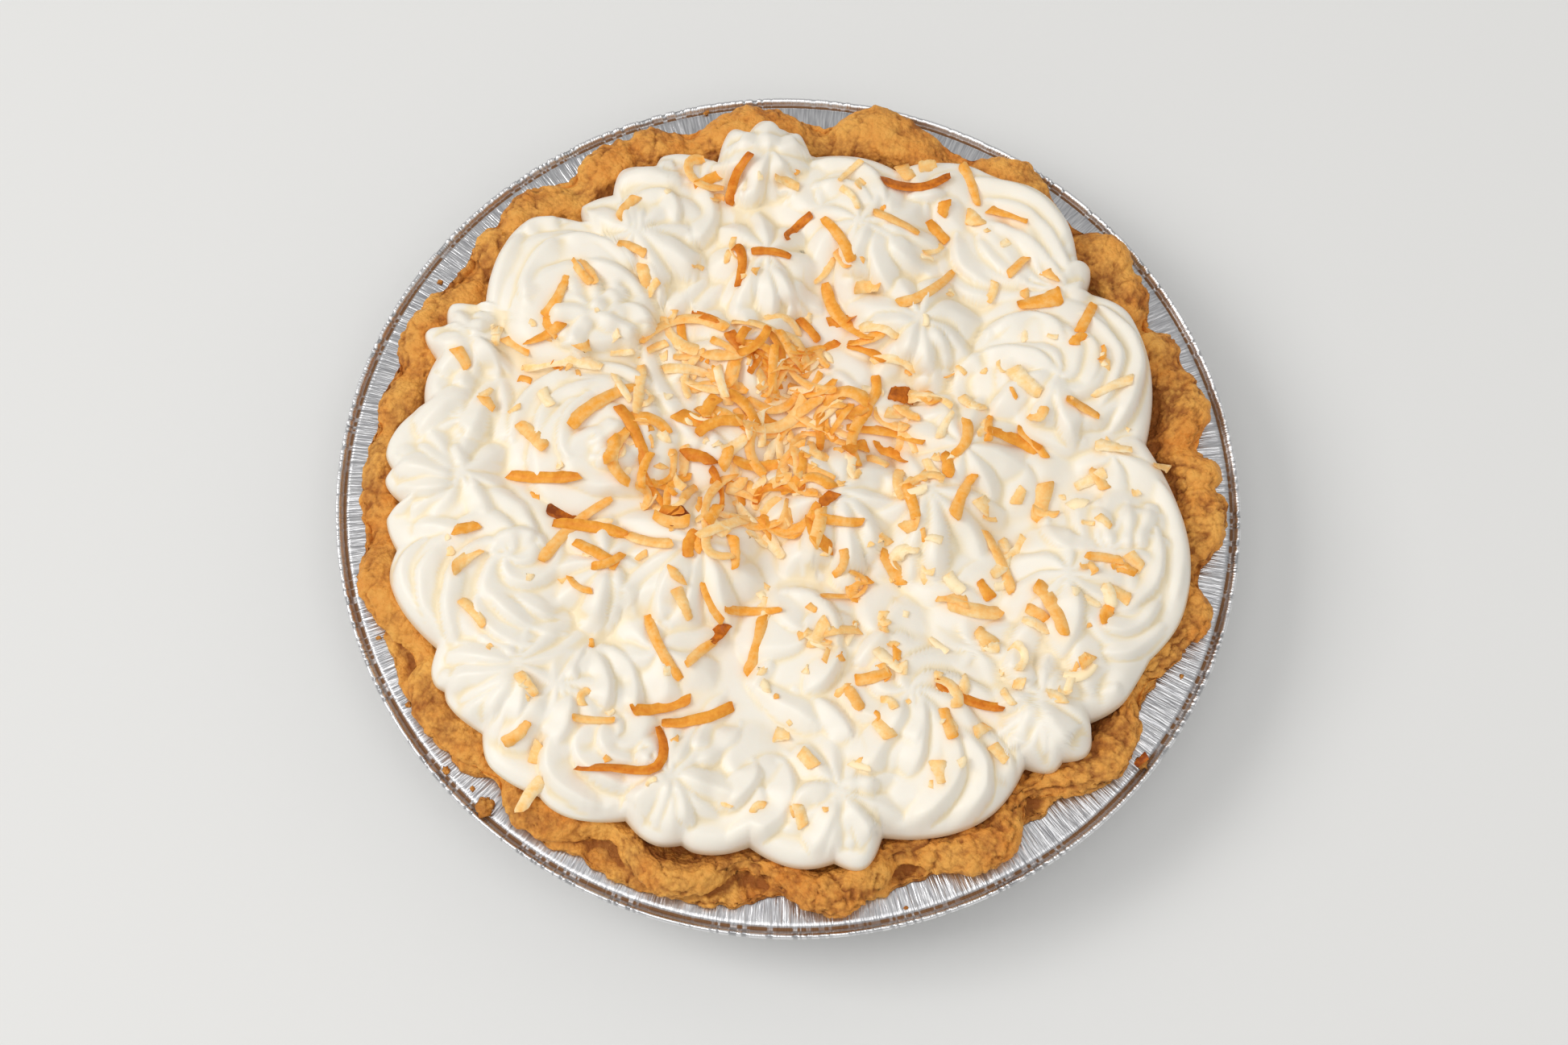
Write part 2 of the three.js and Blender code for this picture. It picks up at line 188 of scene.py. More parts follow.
class Wire:
    """An output socket that can be used in sums, differences and products."""

    def __init__(self, paint, socket):
        self.paint = paint
        self.socket = socket

    def math(self, operation, *values):
        """A Math node of these values, as a new wire."""
        return self.paint.node("ShaderNodeMath", {"operation": operation}, dict(enumerate(values)))

    def __add__(self, other):
        return self.math("ADD", self, other)

    def __radd__(self, other):
        return self.math("ADD", other, self)

    def __sub__(self, other):
        return self.math("SUBTRACT", self, other)

    def __rsub__(self, other):
        return self.math("SUBTRACT", other, self)

    def __mul__(self, other):
        return self.math("MULTIPLY", self, other)

    def __rmul__(self, other):
        return self.math("MULTIPLY", other, self)

    def clip(self):
        """The value held between 0 and 1."""
        return self.math("MINIMUM", self.math("MAXIMUM", self, 0.0), 1.0)


print("a wire adds, subtracts, multiplies and clips")

# %% Paint


class Paint:
    """A material in the making."""

    def __init__(self, name):
        self.material = bpy.data.materials.new(name)
        self.material.use_nodes = True
        self.tree = self.material.node_tree
        self.shader = self.tree.nodes["Principled BSDF"]

    def node(self, kind, settings=None, sockets=None, output=0):
        """Adds a node: settings, then values or links of its input sockets, then its output as a wire."""
        made = self.tree.nodes.new(kind)
        for key, value in (settings or {}).items():
            if key == "stops":
                self.set_stops(made.color_ramp, value)
            else:
                setattr(made, key, value)
        for key, value in (sockets or {}).items():
            self.feed(made.inputs[key], value)
        return Wire(self, made.outputs[output])

    def set_stops(self, ramp, stops):
        """Gives a colour ramp its stops, each a place from 0 to 1 and a colour."""
        while len(ramp.elements) < len(stops):
            ramp.elements.new(1.0)
        for element, (place, colour) in zip(ramp.elements, stops):
            element.position = place
            element.color = (*colour, 1)

    def feed(self, socket, value):
        """Links a wire to a socket, or sets the socket to a number or a colour."""
        if isinstance(value, Wire):
            self.tree.links.new(value.socket, socket)
        elif socket.type == "RGBA" and len(value) == 3:
            socket.default_value = (*value, 1)
        else:
            socket.default_value = value

    def blend(self, factor, first, second):
        """Colour from first to second by factor. Sockets 6 and 7 and output 2 are the node's colours."""
        return self.node("ShaderNodeMix", {"data_type": "RGBA"}, {0: factor, 6: first, 7: second}, output=2)

    def vector(self, operation, sockets):
        """A Vector Math node."""
        return self.node("ShaderNodeVectorMath", {"operation": operation}, sockets)

    def place(self):
        """Where a point lies on the piece: Object coordinates, in metres."""
        return self.node("ShaderNodeTexCoord", output="Object")

    def noise(self, size, detail=4.0, roughness=0.5):
        """Noise on Object coordinates whose blobs are about size millimetres wide."""
        sockets = {"Vector": self.place(), "Scale": 1 / (size * MM), "Detail": detail, "Roughness": roughness}
        return self.node("ShaderNodeTexNoise", {}, sockets)

    def cells(self, size):
        """Distance to the nearest of random middles about size millimetres apart, counted in sizes."""
        return self.node("ShaderNodeTexVoronoi", {}, {"Vector": self.place(), "Scale": 1 / (size * MM)})

    def attribute(self, name):
        """A value stored on the mesh's points."""
        return self.node("ShaderNodeAttribute", {"attribute_name": name}, output="Fac")

    def bump(self, height, strength, distance):
        """A normal from a height wire; distance in millimetres."""
        sockets = {"Height": height, "Strength": strength, "Distance": distance * MM}
        return self.node("ShaderNodeBump", {}, sockets)

    def finish(self, **sockets):
        """Sets the shader's own sockets: names with _ for a space."""
        for key, value in sockets.items():
            self.feed(self.shader.inputs[key.replace("_", " ")], value)
        return self.material


print("paint kit ready")

# %% [markdown]
# Noise and grids in numpy
#
# Crags, warps and wrinkles need smooth random numbers on whole arrays. `lattice_noise` gives
# every corner of a unit lattice a random number and blends them, and `pebbles` packs round
# lumps, as crumbs pack in a crust. Blender has noise of its own, mathutils.noise, but it answers
# for one point at a time, which is slow for 300,000 of them. `grid_faces` turns rows and columns
# of points into quads, and `build` puts points, faces and point values into a mesh.

# %% Random numbers of cells
TABLE_SIZE = 65536
RANDOM_TABLE = np.random.default_rng(31).uniform(-1, 1, TABLE_SIZE)
CELL_PRIMES = (73856093, 19349663, 83492791)
SEED_PRIME = 2654435761


def cell_code(cell, seed):
    """A code for each cell: its three counts and the seed times large primes, joined by exclusive or."""
    code = seed * SEED_PRIME
    for count, prime in zip(cell, CELL_PRIMES):
        code = code ^ (count * prime)
    return code


def random_of(code):
    """The random number between -1 and 1 that belongs to a code."""
    return RANDOM_TABLE[code & (TABLE_SIZE - 1)]


neighbours = random_of(cell_code([np.array([0, 1]), 0, 0], seed=0))
print("two neighbouring cells draw", np.round(neighbours, 2))

# %% Smooth noise
OCTAVE_STEP = 17


def lattice_noise(x, y, z, seed=0):
    """Value noise: corners' random numbers blended along each axis by 3t*t - 2t*t*t."""
    base = [np.floor(v).astype(np.int64) for v in (x, y, z)]
    part = [v - b for v, b in zip((x, y, z), base)]
    ease = [t * t * (3 - 2 * t) for t in part]
    total = 0.0
    for corner in range(8):
        bits = [(corner >> k) & 1 for k in range(3)]
        code = cell_code([b + bit for b, bit in zip(base, bits)], seed)
        weight = 1.0
        for bit, e in zip(bits, ease):
            weight = weight * (e if bit else 1 - e)
        total = total + weight * random_of(code)
    return total


def rough(x, y, z, size, octaves, seed=0, fall=0.5):
    """Octaves of noise: each has half the size of the one before and fall times its weight."""
    total = 0.0
    weight = 1.0
    for k in range(octaves):
        scale = 2**k / size
        total = total + weight * lattice_noise(x * scale, y * scale, z * scale, seed + OCTAVE_STEP * k)
        weight *= fall
    return total


def ring_noise(angle, radius, level, size, octaves, seed):
    """Noise read along a circle of some radius and level, so that it closes over the full turn."""
    return rough(np.cos(angle) * radius, np.sin(angle) * radius, level, size, octaves, seed)


print("noise spans", np.round(np.ptp(rough(np.arange(999) * 0.37, 0.5, 0.5, 1.0, 3)), 2))

# %% Pebbles
AXIS_STEP = 7919
LEVEL_STEP = 104729
FAR = 9.0


def pebbles(x, y, z, size, seed):
    """Packed pebbles around random middles, one to a cell, of which the 27 round a point are tried.

    Distance to the second nearest middle less that to the nearest, which is 0 in the cracks,
    and a random level of each pebble's own.
    """
    place = [v / size for v in (x, y, z)]
    base = [np.floor(v).astype(np.int64) for v in place]
    nearest = np.full(np.shape(x), FAR)
    second = nearest.copy()
    level = np.zeros(np.shape(x))
    for k in range(27):
        cell = [b + step for b, step in zip(base, (k % 3 - 1, k // 3 % 3 - 1, k // 9 - 1))]
        code = cell_code(cell, seed)
        middle = [c + 0.5 + 0.5 * random_of(code + AXIS_STEP * axis) for axis, c in enumerate(cell)]
        distance = np.sqrt(sum((p - m) ** 2 for p, m in zip(place, middle)))
        closer = distance < nearest
        second = np.minimum(second, np.maximum(nearest, distance))
        level = np.where(closer, random_of(code + LEVEL_STEP), level)
        nearest = np.minimum(nearest, distance)
    return second - nearest, level


gaps = pebbles(np.arange(999) * 0.37, 0.5, 0.5, size=1.0, seed=0)[0]
print("the value between pebbles goes up to", round(float(gaps.max()), 2))

# %% Grids of faces


def grid_faces(rows, columns, wrap):
    """Quads of a grid of numbered points; wrap joins the last column to the first."""
    number = np.arange(rows * columns).reshape(rows, columns)
    if wrap:
        number = np.hstack([number, number[:, :1]])
    corners = [number[:-1, :-1], number[1:, :-1], number[1:, 1:], number[:-1, 1:]]
    return np.stack([c.ravel() for c in corners], 1)


print("a 3 by 4 grid has", len(grid_faces(3, 4, False)), "quads")

# %% Meshes


def mesh_of(name, points, faces, flat):
    """A smooth mesh from points in millimetres and arrays of faces.

    flat numbers the arrays of faces that keep their edges.
    """
    mesh = bpy.data.meshes.new(name)
    mesh.vertices.add(len(points))
    mesh.vertices.foreach_set("co", (np.asarray(points) * MM).astype(np.float32).ravel())
    corners = np.concatenate([f.ravel() for f in faces]).astype(np.int32)
    sizes = np.concatenate([np.full(len(f), f.shape[1]) for f in faces])
    mesh.loops.add(len(corners))
    mesh.loops.foreach_set("vertex_index", corners)
    mesh.polygons.add(len(sizes))
    mesh.polygons.foreach_set("loop_start", (np.cumsum(sizes) - sizes).astype(np.int32))
    smooth = [np.full(len(f), k not in flat) for k, f in enumerate(faces)]
    mesh.polygons.foreach_set("use_smooth", np.concatenate(smooth))
    mesh.update(calc_edges=True)
    mesh.validate()
    return mesh


def keep_values(mesh, values):
    """Stores named values on the points of a mesh, for its paint to read."""
    for key, value in values.items():
        layer = mesh.attributes.new(key, "FLOAT", "POINT")
        layer.data.foreach_set("value", value.astype(np.float32).ravel())


def build(name, points, faces, material, values, flat=()):
    """A finished piece: its mesh, point values and paint, riding on the part's only body."""
    mesh = mesh_of(name, points, faces, flat)
    keep_values(mesh, values)
    mesh.materials.append(material)
    piece = bpy.data.objects.new(name, mesh)
    bpy.context.collection.objects.link(piece)
    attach(piece, "root")
    print(name, len(mesh.vertices), "points,", len(mesh.polygons), "faces")
    return piece


print("pieces are made in metres: a rim of", round(RIM_RADIUS, 1), "mm is", round(RIM_RADIUS * MM, 4))

# %% [markdown]
# The piped cream: its outline
#
# The edge of the cream is a chain of lobes. Each lobe rises fast from a sharp notch to a round
# tip and falls back to the next notch, so four numbers describe it: the direction and reach of
# the notch and those of the tip. A quarter sine joins notch to tip, a quarter cosine tip to notch.
# A curve drawn by hand would do too, but a formula tells how far the cream reaches in every
# direction, and the surface below is built on that.

# %% Outline
# Direction in degrees and reach of a notch, then those of the tip after it.
LOBES = [
    (10.3, 97.2, 31.0, 106.7), (38.3, 100.2, 41.3, 105.5), (42.8, 104.2, 54.5, 113.0),
    (60.5, 110.2, 63.5, 109.6), (76.0, 100.8, 82.0, 102.1), (90.3, 99.9, 93.4, 107.2),
    (95.3, 107.0, 97.3, 110.5), (100.0, 107.0, 102.0, 108.7), (105.5, 99.9, 113.5, 105.5),
    (115.4, 103.2, 120.0, 105.8), (123.7, 100.1, 128.8, 101.7), (130.3, 96.5, 137.5, 107.2),
    (152.6, 98.5, 155.2, 106.7), (158.3, 103.8, 160.5, 108.4), (163.5, 102.8, 167.0, 103.2),
    (171.5, 101.3, 180.0, 108.4), (182.5, 106.3, 184.3, 107.9), (187.8, 103.0, 190.5, 107.6),
    (195.0, 105.8, 200.0, 109.0), (211.0, 103.3, 216.0, 108.4), (217.5, 107.2, 219.5, 108.3),
    (225.5, 105.8, 230.5, 110.5), (237.5, 108.0, 240.0, 108.8), (249.3, 101.5, 254.5, 104.9),
    (258.0, 102.6, 260.2, 103.8), (267.5, 99.5, 276.0, 105.2), (279.5, 104.0, 282.7, 107.0),
    (287.0, 99.0, 300.0, 104.6), (311.0, 98.4, 314.0, 104.2), (315.6, 103.7, 318.5, 106.9),
    (322.8, 101.6, 329.0, 105.7), (335.5, 105.9, 344.0, 109.5),
]
EDGE_LEAN = 1.2


def cream_edge(angle):
    """Reach of the cream in a direction: quarter sines up to the tips, quarter cosines down."""
    table = np.array(LOBES)
    knots = table[:, [0, 2]].ravel()
    reach = table[:, [1, 3]].ravel()
    degrees = np.degrees(angle) % 360
    degrees = np.where(degrees < knots[0], degrees + 360, degrees)
    place = np.searchsorted(knots, degrees, side="right") - 1
    after = (place + 1) % len(knots)
    end = np.where(after == 0, knots[0] + 360, knots[after])
    t = (degrees - knots[place]) / (end - knots[place])
    rising = place % 2 == 0
    share = np.where(rising, np.sin(t * np.pi / 2), 1 - np.cos(t * np.pi / 2))
    edge = reach[place] + (reach[after] - reach[place]) * share
    return edge - EDGE_LEAN * np.sin(angle)


print("the cream reaches", np.round(cream_edge(np.radians([0, 90, 180, 270])), 1))

# %% [markdown]
# The piped cream: its pieces
#
# Each star or swirl is a mound ploughed by the teeth of the piping tip. The peak often leans,
# so the mound is measured in leaning circles: small ones lie round the peak, the largest is the
# foot, and the centres slide from one to the other. The ridges follow one phase,
# petals * angle + twist * distance: without twist they are the straight petals of a star, and
# with twist they bend into the nested crescents of a swirl. Each ridge lies between two sharp
# creases, and its section is an arch mixed with a pleat, whose crest has an edge, as pushed cream
# has. A soft maximum joins the pieces, the way one mound swallows the foot of the next. Sculpting
# could give such forms as well, but a formula keeps all 46 pieces alike and easy to move.

# %% Piped pieces
# Peak x and y, foot x and y, foot radius, all on the sheet; height of the top; petals;
# direction of one petal's end in degrees; twist in radians per millimetre; depth of a crease.
PIPED = [
    (-12, 98, -12.5, 94, 14, 51, 7, 92, 0.00, 3.0),
    (-40, 76, -42, 76, 17, 48, 3, 100, 0.60, 1.6),
    (-47, 70, -44, 63, 20, 50, 8, 148, 0.05, 2.6),
    (-58, 46, -63, 49, 25, 52, 3, 150, -0.62, 2.6),
    (-89, 36, -88, 30, 14, 48, 7, 172, 0.00, 3.0),
    (-88, 10, -90, 14, 17, 47, 8, 200, 0.20, 2.0),
    (-88, -5, -90, -7, 19, 49, 8, 165, 0.00, 3.0),
    (-49, 7, -53, 6, 25, 52.5, 3, 60, -0.75, 2.4),
    (-73, -28, -77, -31, 27, 51, 5, 215, -0.62, 2.4),
    (-67, -57, -68, -60, 22, 50, 10, 190, 0.05, 2.8),
    (-56, -62, -53, -67, 22, 49, 8, 20, 0.25, 2.2),
    (-41, -75, -44, -78, 20, 47.5, 3, 230, -0.60, 2.2),
    (-25, -86, -25, -84, 18, 49, 8, 270, 0.03, 3.0),
    (-5, -84, -6, -84, 18, 47, 4, 300, 0.35, 1.8),
    (19, -86, 17, -86, 20, 48.5, 9, 298, 0.02, 3.0),
    (35, -57, 38, -70, 27, 50, 7, 320, 0.42, 2.8),
    (68, -57, 68, -61, 18, 49.5, 8, 305, 0.02, 3.0),
    (80, -48, 84, -48, 18, 46, 4, 300, 0.20, 1.4),
    (75, -22, 76, -32, 23, 50, 9, 300, -0.30, 2.2),
    (86, -16, 86, -15, 20, 48.5, 9, 95, 0.45, 2.4),
    (70, 36, 69, 35, 26, 52, 4, 30, -0.72, 2.4),
    (70, 61, 57, 76, 25, 47.5, 8, 110, 0.25, 2.4),
    (5, 82, 8, 83, 18, 48, 4, 60, 0.45, 1.8),
    (15, 78, 18, 71, 21, 51, 8, 275, -0.20, 2.4),
    (32, 50, 30, 43, 20, 52, 8, 285, 0.05, 2.4),
    (-11, 66, -11, 60, 18, 51, 8, 270, 0.02, 2.6),
    (-15, 38, -15, 36, 18, 51, 7, 300, 0.00, 2.2),
    (13, -2, 12, -11, 22, 52.8, 9, 280, 0.02, 2.6),
    (46, 12, 46, 10, 19, 52, 8, 250, 0.04, 2.4),
    (37, 0, 35, -13, 22, 51.5, 8, 280, 0.02, 2.4),
    (-22, -20, -28, -28, 23, 52.3, 9, 225, 0.05, 2.6),
    (-48, -27, -48, -33, 19, 51, 8, 260, 0.10, 2.4),
    (5, -43, 5, -46, 18, 49, 4, 120, 0.40, 2.0),
    (62, 8, 60, 6, 18, 46.5, 3, 200, 0.20, 1.4),
    (-24, 13, -24, 13, 20, 48.5, 5, 90, 0.30, 1.8),
    (14, 25, 18, 24, 19, 48, 4, 0, -0.40, 1.8),
    (20, -66, 10, -66, 21, 46.5, 3, 200, 0.20, 1.4),
    (46, -27, 47, -28, 19, 47.5, 4, 60, 0.20, 1.4),
    (-31, -50, -30, -50, 19, 48, 6, 0, 0.20, 2.0),
    (27, -43, 27, -43, 17, 47, 5, 0, 0.30, 1.6),
    (-80, 62, -76, 60, 16, 45, 3, 150, 0.30, 1.4),
    (33, 88, 33, 86, 17, 46, 5, 80, 0.20, 1.8),
    (85, 12, 88, 8, 16, 46, 5, 0, 0.30, 1.6),
    (52, -45, 52, -46, 17, 47, 6, 0, 0.30, 1.8),
    (-55, -88, -55, -86, 16, 44, 4, 250, 0.20, 1.6),
    (-30, 88, -31, 86, 13, 45, 6, 120, 0.00, 1.8),
]
print(len(PIPED), "piped pieces")

# %% Leaning circles


def leaning_circles(dx, dy, lean_x, lean_y):
    """Circle of a family through a point: its radius and the angle round its own centre.

    The circle of radius t has its centre at t * lean from the peak, so t solves
    |d - t * lean| = t, and the angle is that of d - t * lean.
    """
    tight = 1 - lean_x**2 - lean_y**2
    slope = dx * lean_x + dy * lean_y
    radius = (np.sqrt(slope**2 + tight * (dx**2 + dy**2)) - slope) / tight
    return radius, np.arctan2(dy - radius * lean_y, dx - radius * lean_x)


level_circle = leaning_circles(3.0, 4.0, 0.0, 0.0)[0]
print("without a lean, a point 3 and 4 mm away lies on the circle of", round(float(level_circle), 1), "mm")

# %% Ridges
ROPE_ROUND = 0.55
PLEAT_POWER = 1.25
CREST_EDGE = 0.85


def ridge_section(v):
    """Height across a ridge, from 0 at its creases, where v is 0 or 1, to 1 at its crest.

    It is partly the arch (4v(1 - v))^ROPE_ROUND and partly the pleat 1 - |2v - 1|^PLEAT_POWER,
    which gives the crest its edge.
    """
    arch = (4 * v * (1 - v)) ** ROPE_ROUND
    pleat = 1 - np.abs(2 * v - 1) ** PLEAT_POWER
    return arch + CREST_EDGE * (pleat - arch)


print("a quarter of the way across, a ridge is at", round(float(ridge_section(0.25)), 2), "of its height")

# %% Mounds
SPREAD = 1.22
FULLNESS = 2.3
SWIRL_TWIST = 0.3
OVERLAP = 0.42
PETAL_CUT = 0.18
ROPE_HEIGHT = 0.85
SWAY = 0.9
SWAY_SIZE = 9.0
FADE_SIZE = 11.0


def mound(x, y, piece):
    """Height of one piped piece.

    q runs from 0 at the peak to 1 at the lobed foot. The body is rise * sqrt(1 - q^FULLNESS).
    Across a ridge, v = u^k runs from 0 to 1: k is 1 for a star, and smaller for a swirl, whose
    ridges fall steeply on their outer side. A wide ridge is cut deeper than a narrow one, up to
    depth. Noise makes the ridges sway and some creases fade.
    """
    px, py, fx, fy, foot, peak, petals, aim, twist, depth = piece
    radius = SPREAD * foot
    cx, cy = under_sight(px, py, peak)
    gx, gy = under_sight(fx, fy, SHEET)
    lean_x, lean_y = (gx - cx) / radius, (gy - cy) / radius
    distance, angle = leaning_circles(x - cx, y - cy, lean_x, lean_y)
    seed = int(abs(px) * 3 + abs(py) * 7)
    sway = SWAY * rough(x, y, 0.0, SWAY_SIZE, octaves=2, seed=seed)
    phase = petals * (angle - math.radians(aim)) + twist * (distance - radius) + sway
    straight = 1 - min(1, abs(twist) / SWIRL_TWIST)
    part = np.mod(0.5 - math.copysign(1, twist) * phase / (2 * math.pi), 1)
    ridge = ridge_section(part ** (1 - OVERLAP * (1 - straight)))
    pitch = 2 * math.pi / np.hypot(petals / np.maximum(distance, 0.5), twist)
    reach = radius * (1 - PETAL_CUT * straight * (1 - ridge))
    q = np.clip(distance / reach, 0, 1)
    body = np.sqrt(1 - q**FULLNESS)
    fade = 0.8 + 0.35 * rough(x, y, 3.0, FADE_SIZE, octaves=1, seed=seed)
    groove = fade * depth * np.tanh(ROPE_HEIGHT * pitch / 2 / depth) * (1 - ridge)
    return CREAM_FLOOR + (peak - CREAM_FLOOR) * body - groove


tops = [piece[5] for piece in PIPED]
print("mounds between", min(tops), "and", max(tops), "mm high")

# %% The bed of the cream
BED_HEIGHT = 43.0
BED_SWELL = 1.2
BED_WARP = 1.3
WARP_SIZE = 16.0
JOIN_SOFTNESS = 0.35


def soft_max(first, second, softness):
    """softness * log(e^(first / softness) + e^(second / softness)): a maximum with a rounded join."""
    return softness * np.logaddexp(first / softness, second / softness)


def cream_bed(x, y):
    """Soft maximum of the bed and all the piped pieces, on slightly warped coordinates."""
    wx = x + BED_WARP * rough(x, y, 0.0, WARP_SIZE, octaves=2, seed=5)
    wy = y + BED_WARP * rough(x, y, 9.0, WARP_SIZE, octaves=2, seed=6)
    height = BED_HEIGHT + BED_SWELL * rough(x, y, 0.0, size=22.0, octaves=2, seed=7)
    for piece in PIPED:
        height = soft_max(height, mound(wx, wy, piece), JOIN_SOFTNESS)
    return height


middle_height = float(cream_bed(np.zeros(1), np.zeros(1))[0])
print("the middle of the bed is at", round(middle_height, 1), "mm")

# %% [markdown]
# The piped cream: its ropes
#
# The ridges that catch the eye are not regular. Each is a rope of cream laid down by one notch
# of the piping tip, thin where it leaves the peak and fat where it ends. So the visible ones
# were read off one by one: a bent line through three places, half a width at each end. A rope
# lies a little above the pieces under it and sinks into them at both ends. Its section is an
# arch mixed with a pleat, steep at its sides, so two neighbours meet in a sharp crease, as they
# do on the real pie. Where a rope bends, its crest lies nearer the outer side, as if the next one
# had lapped over its inner side. Bevelled curves could carry the ropes too, but they would cut
# through each other instead of melting together.

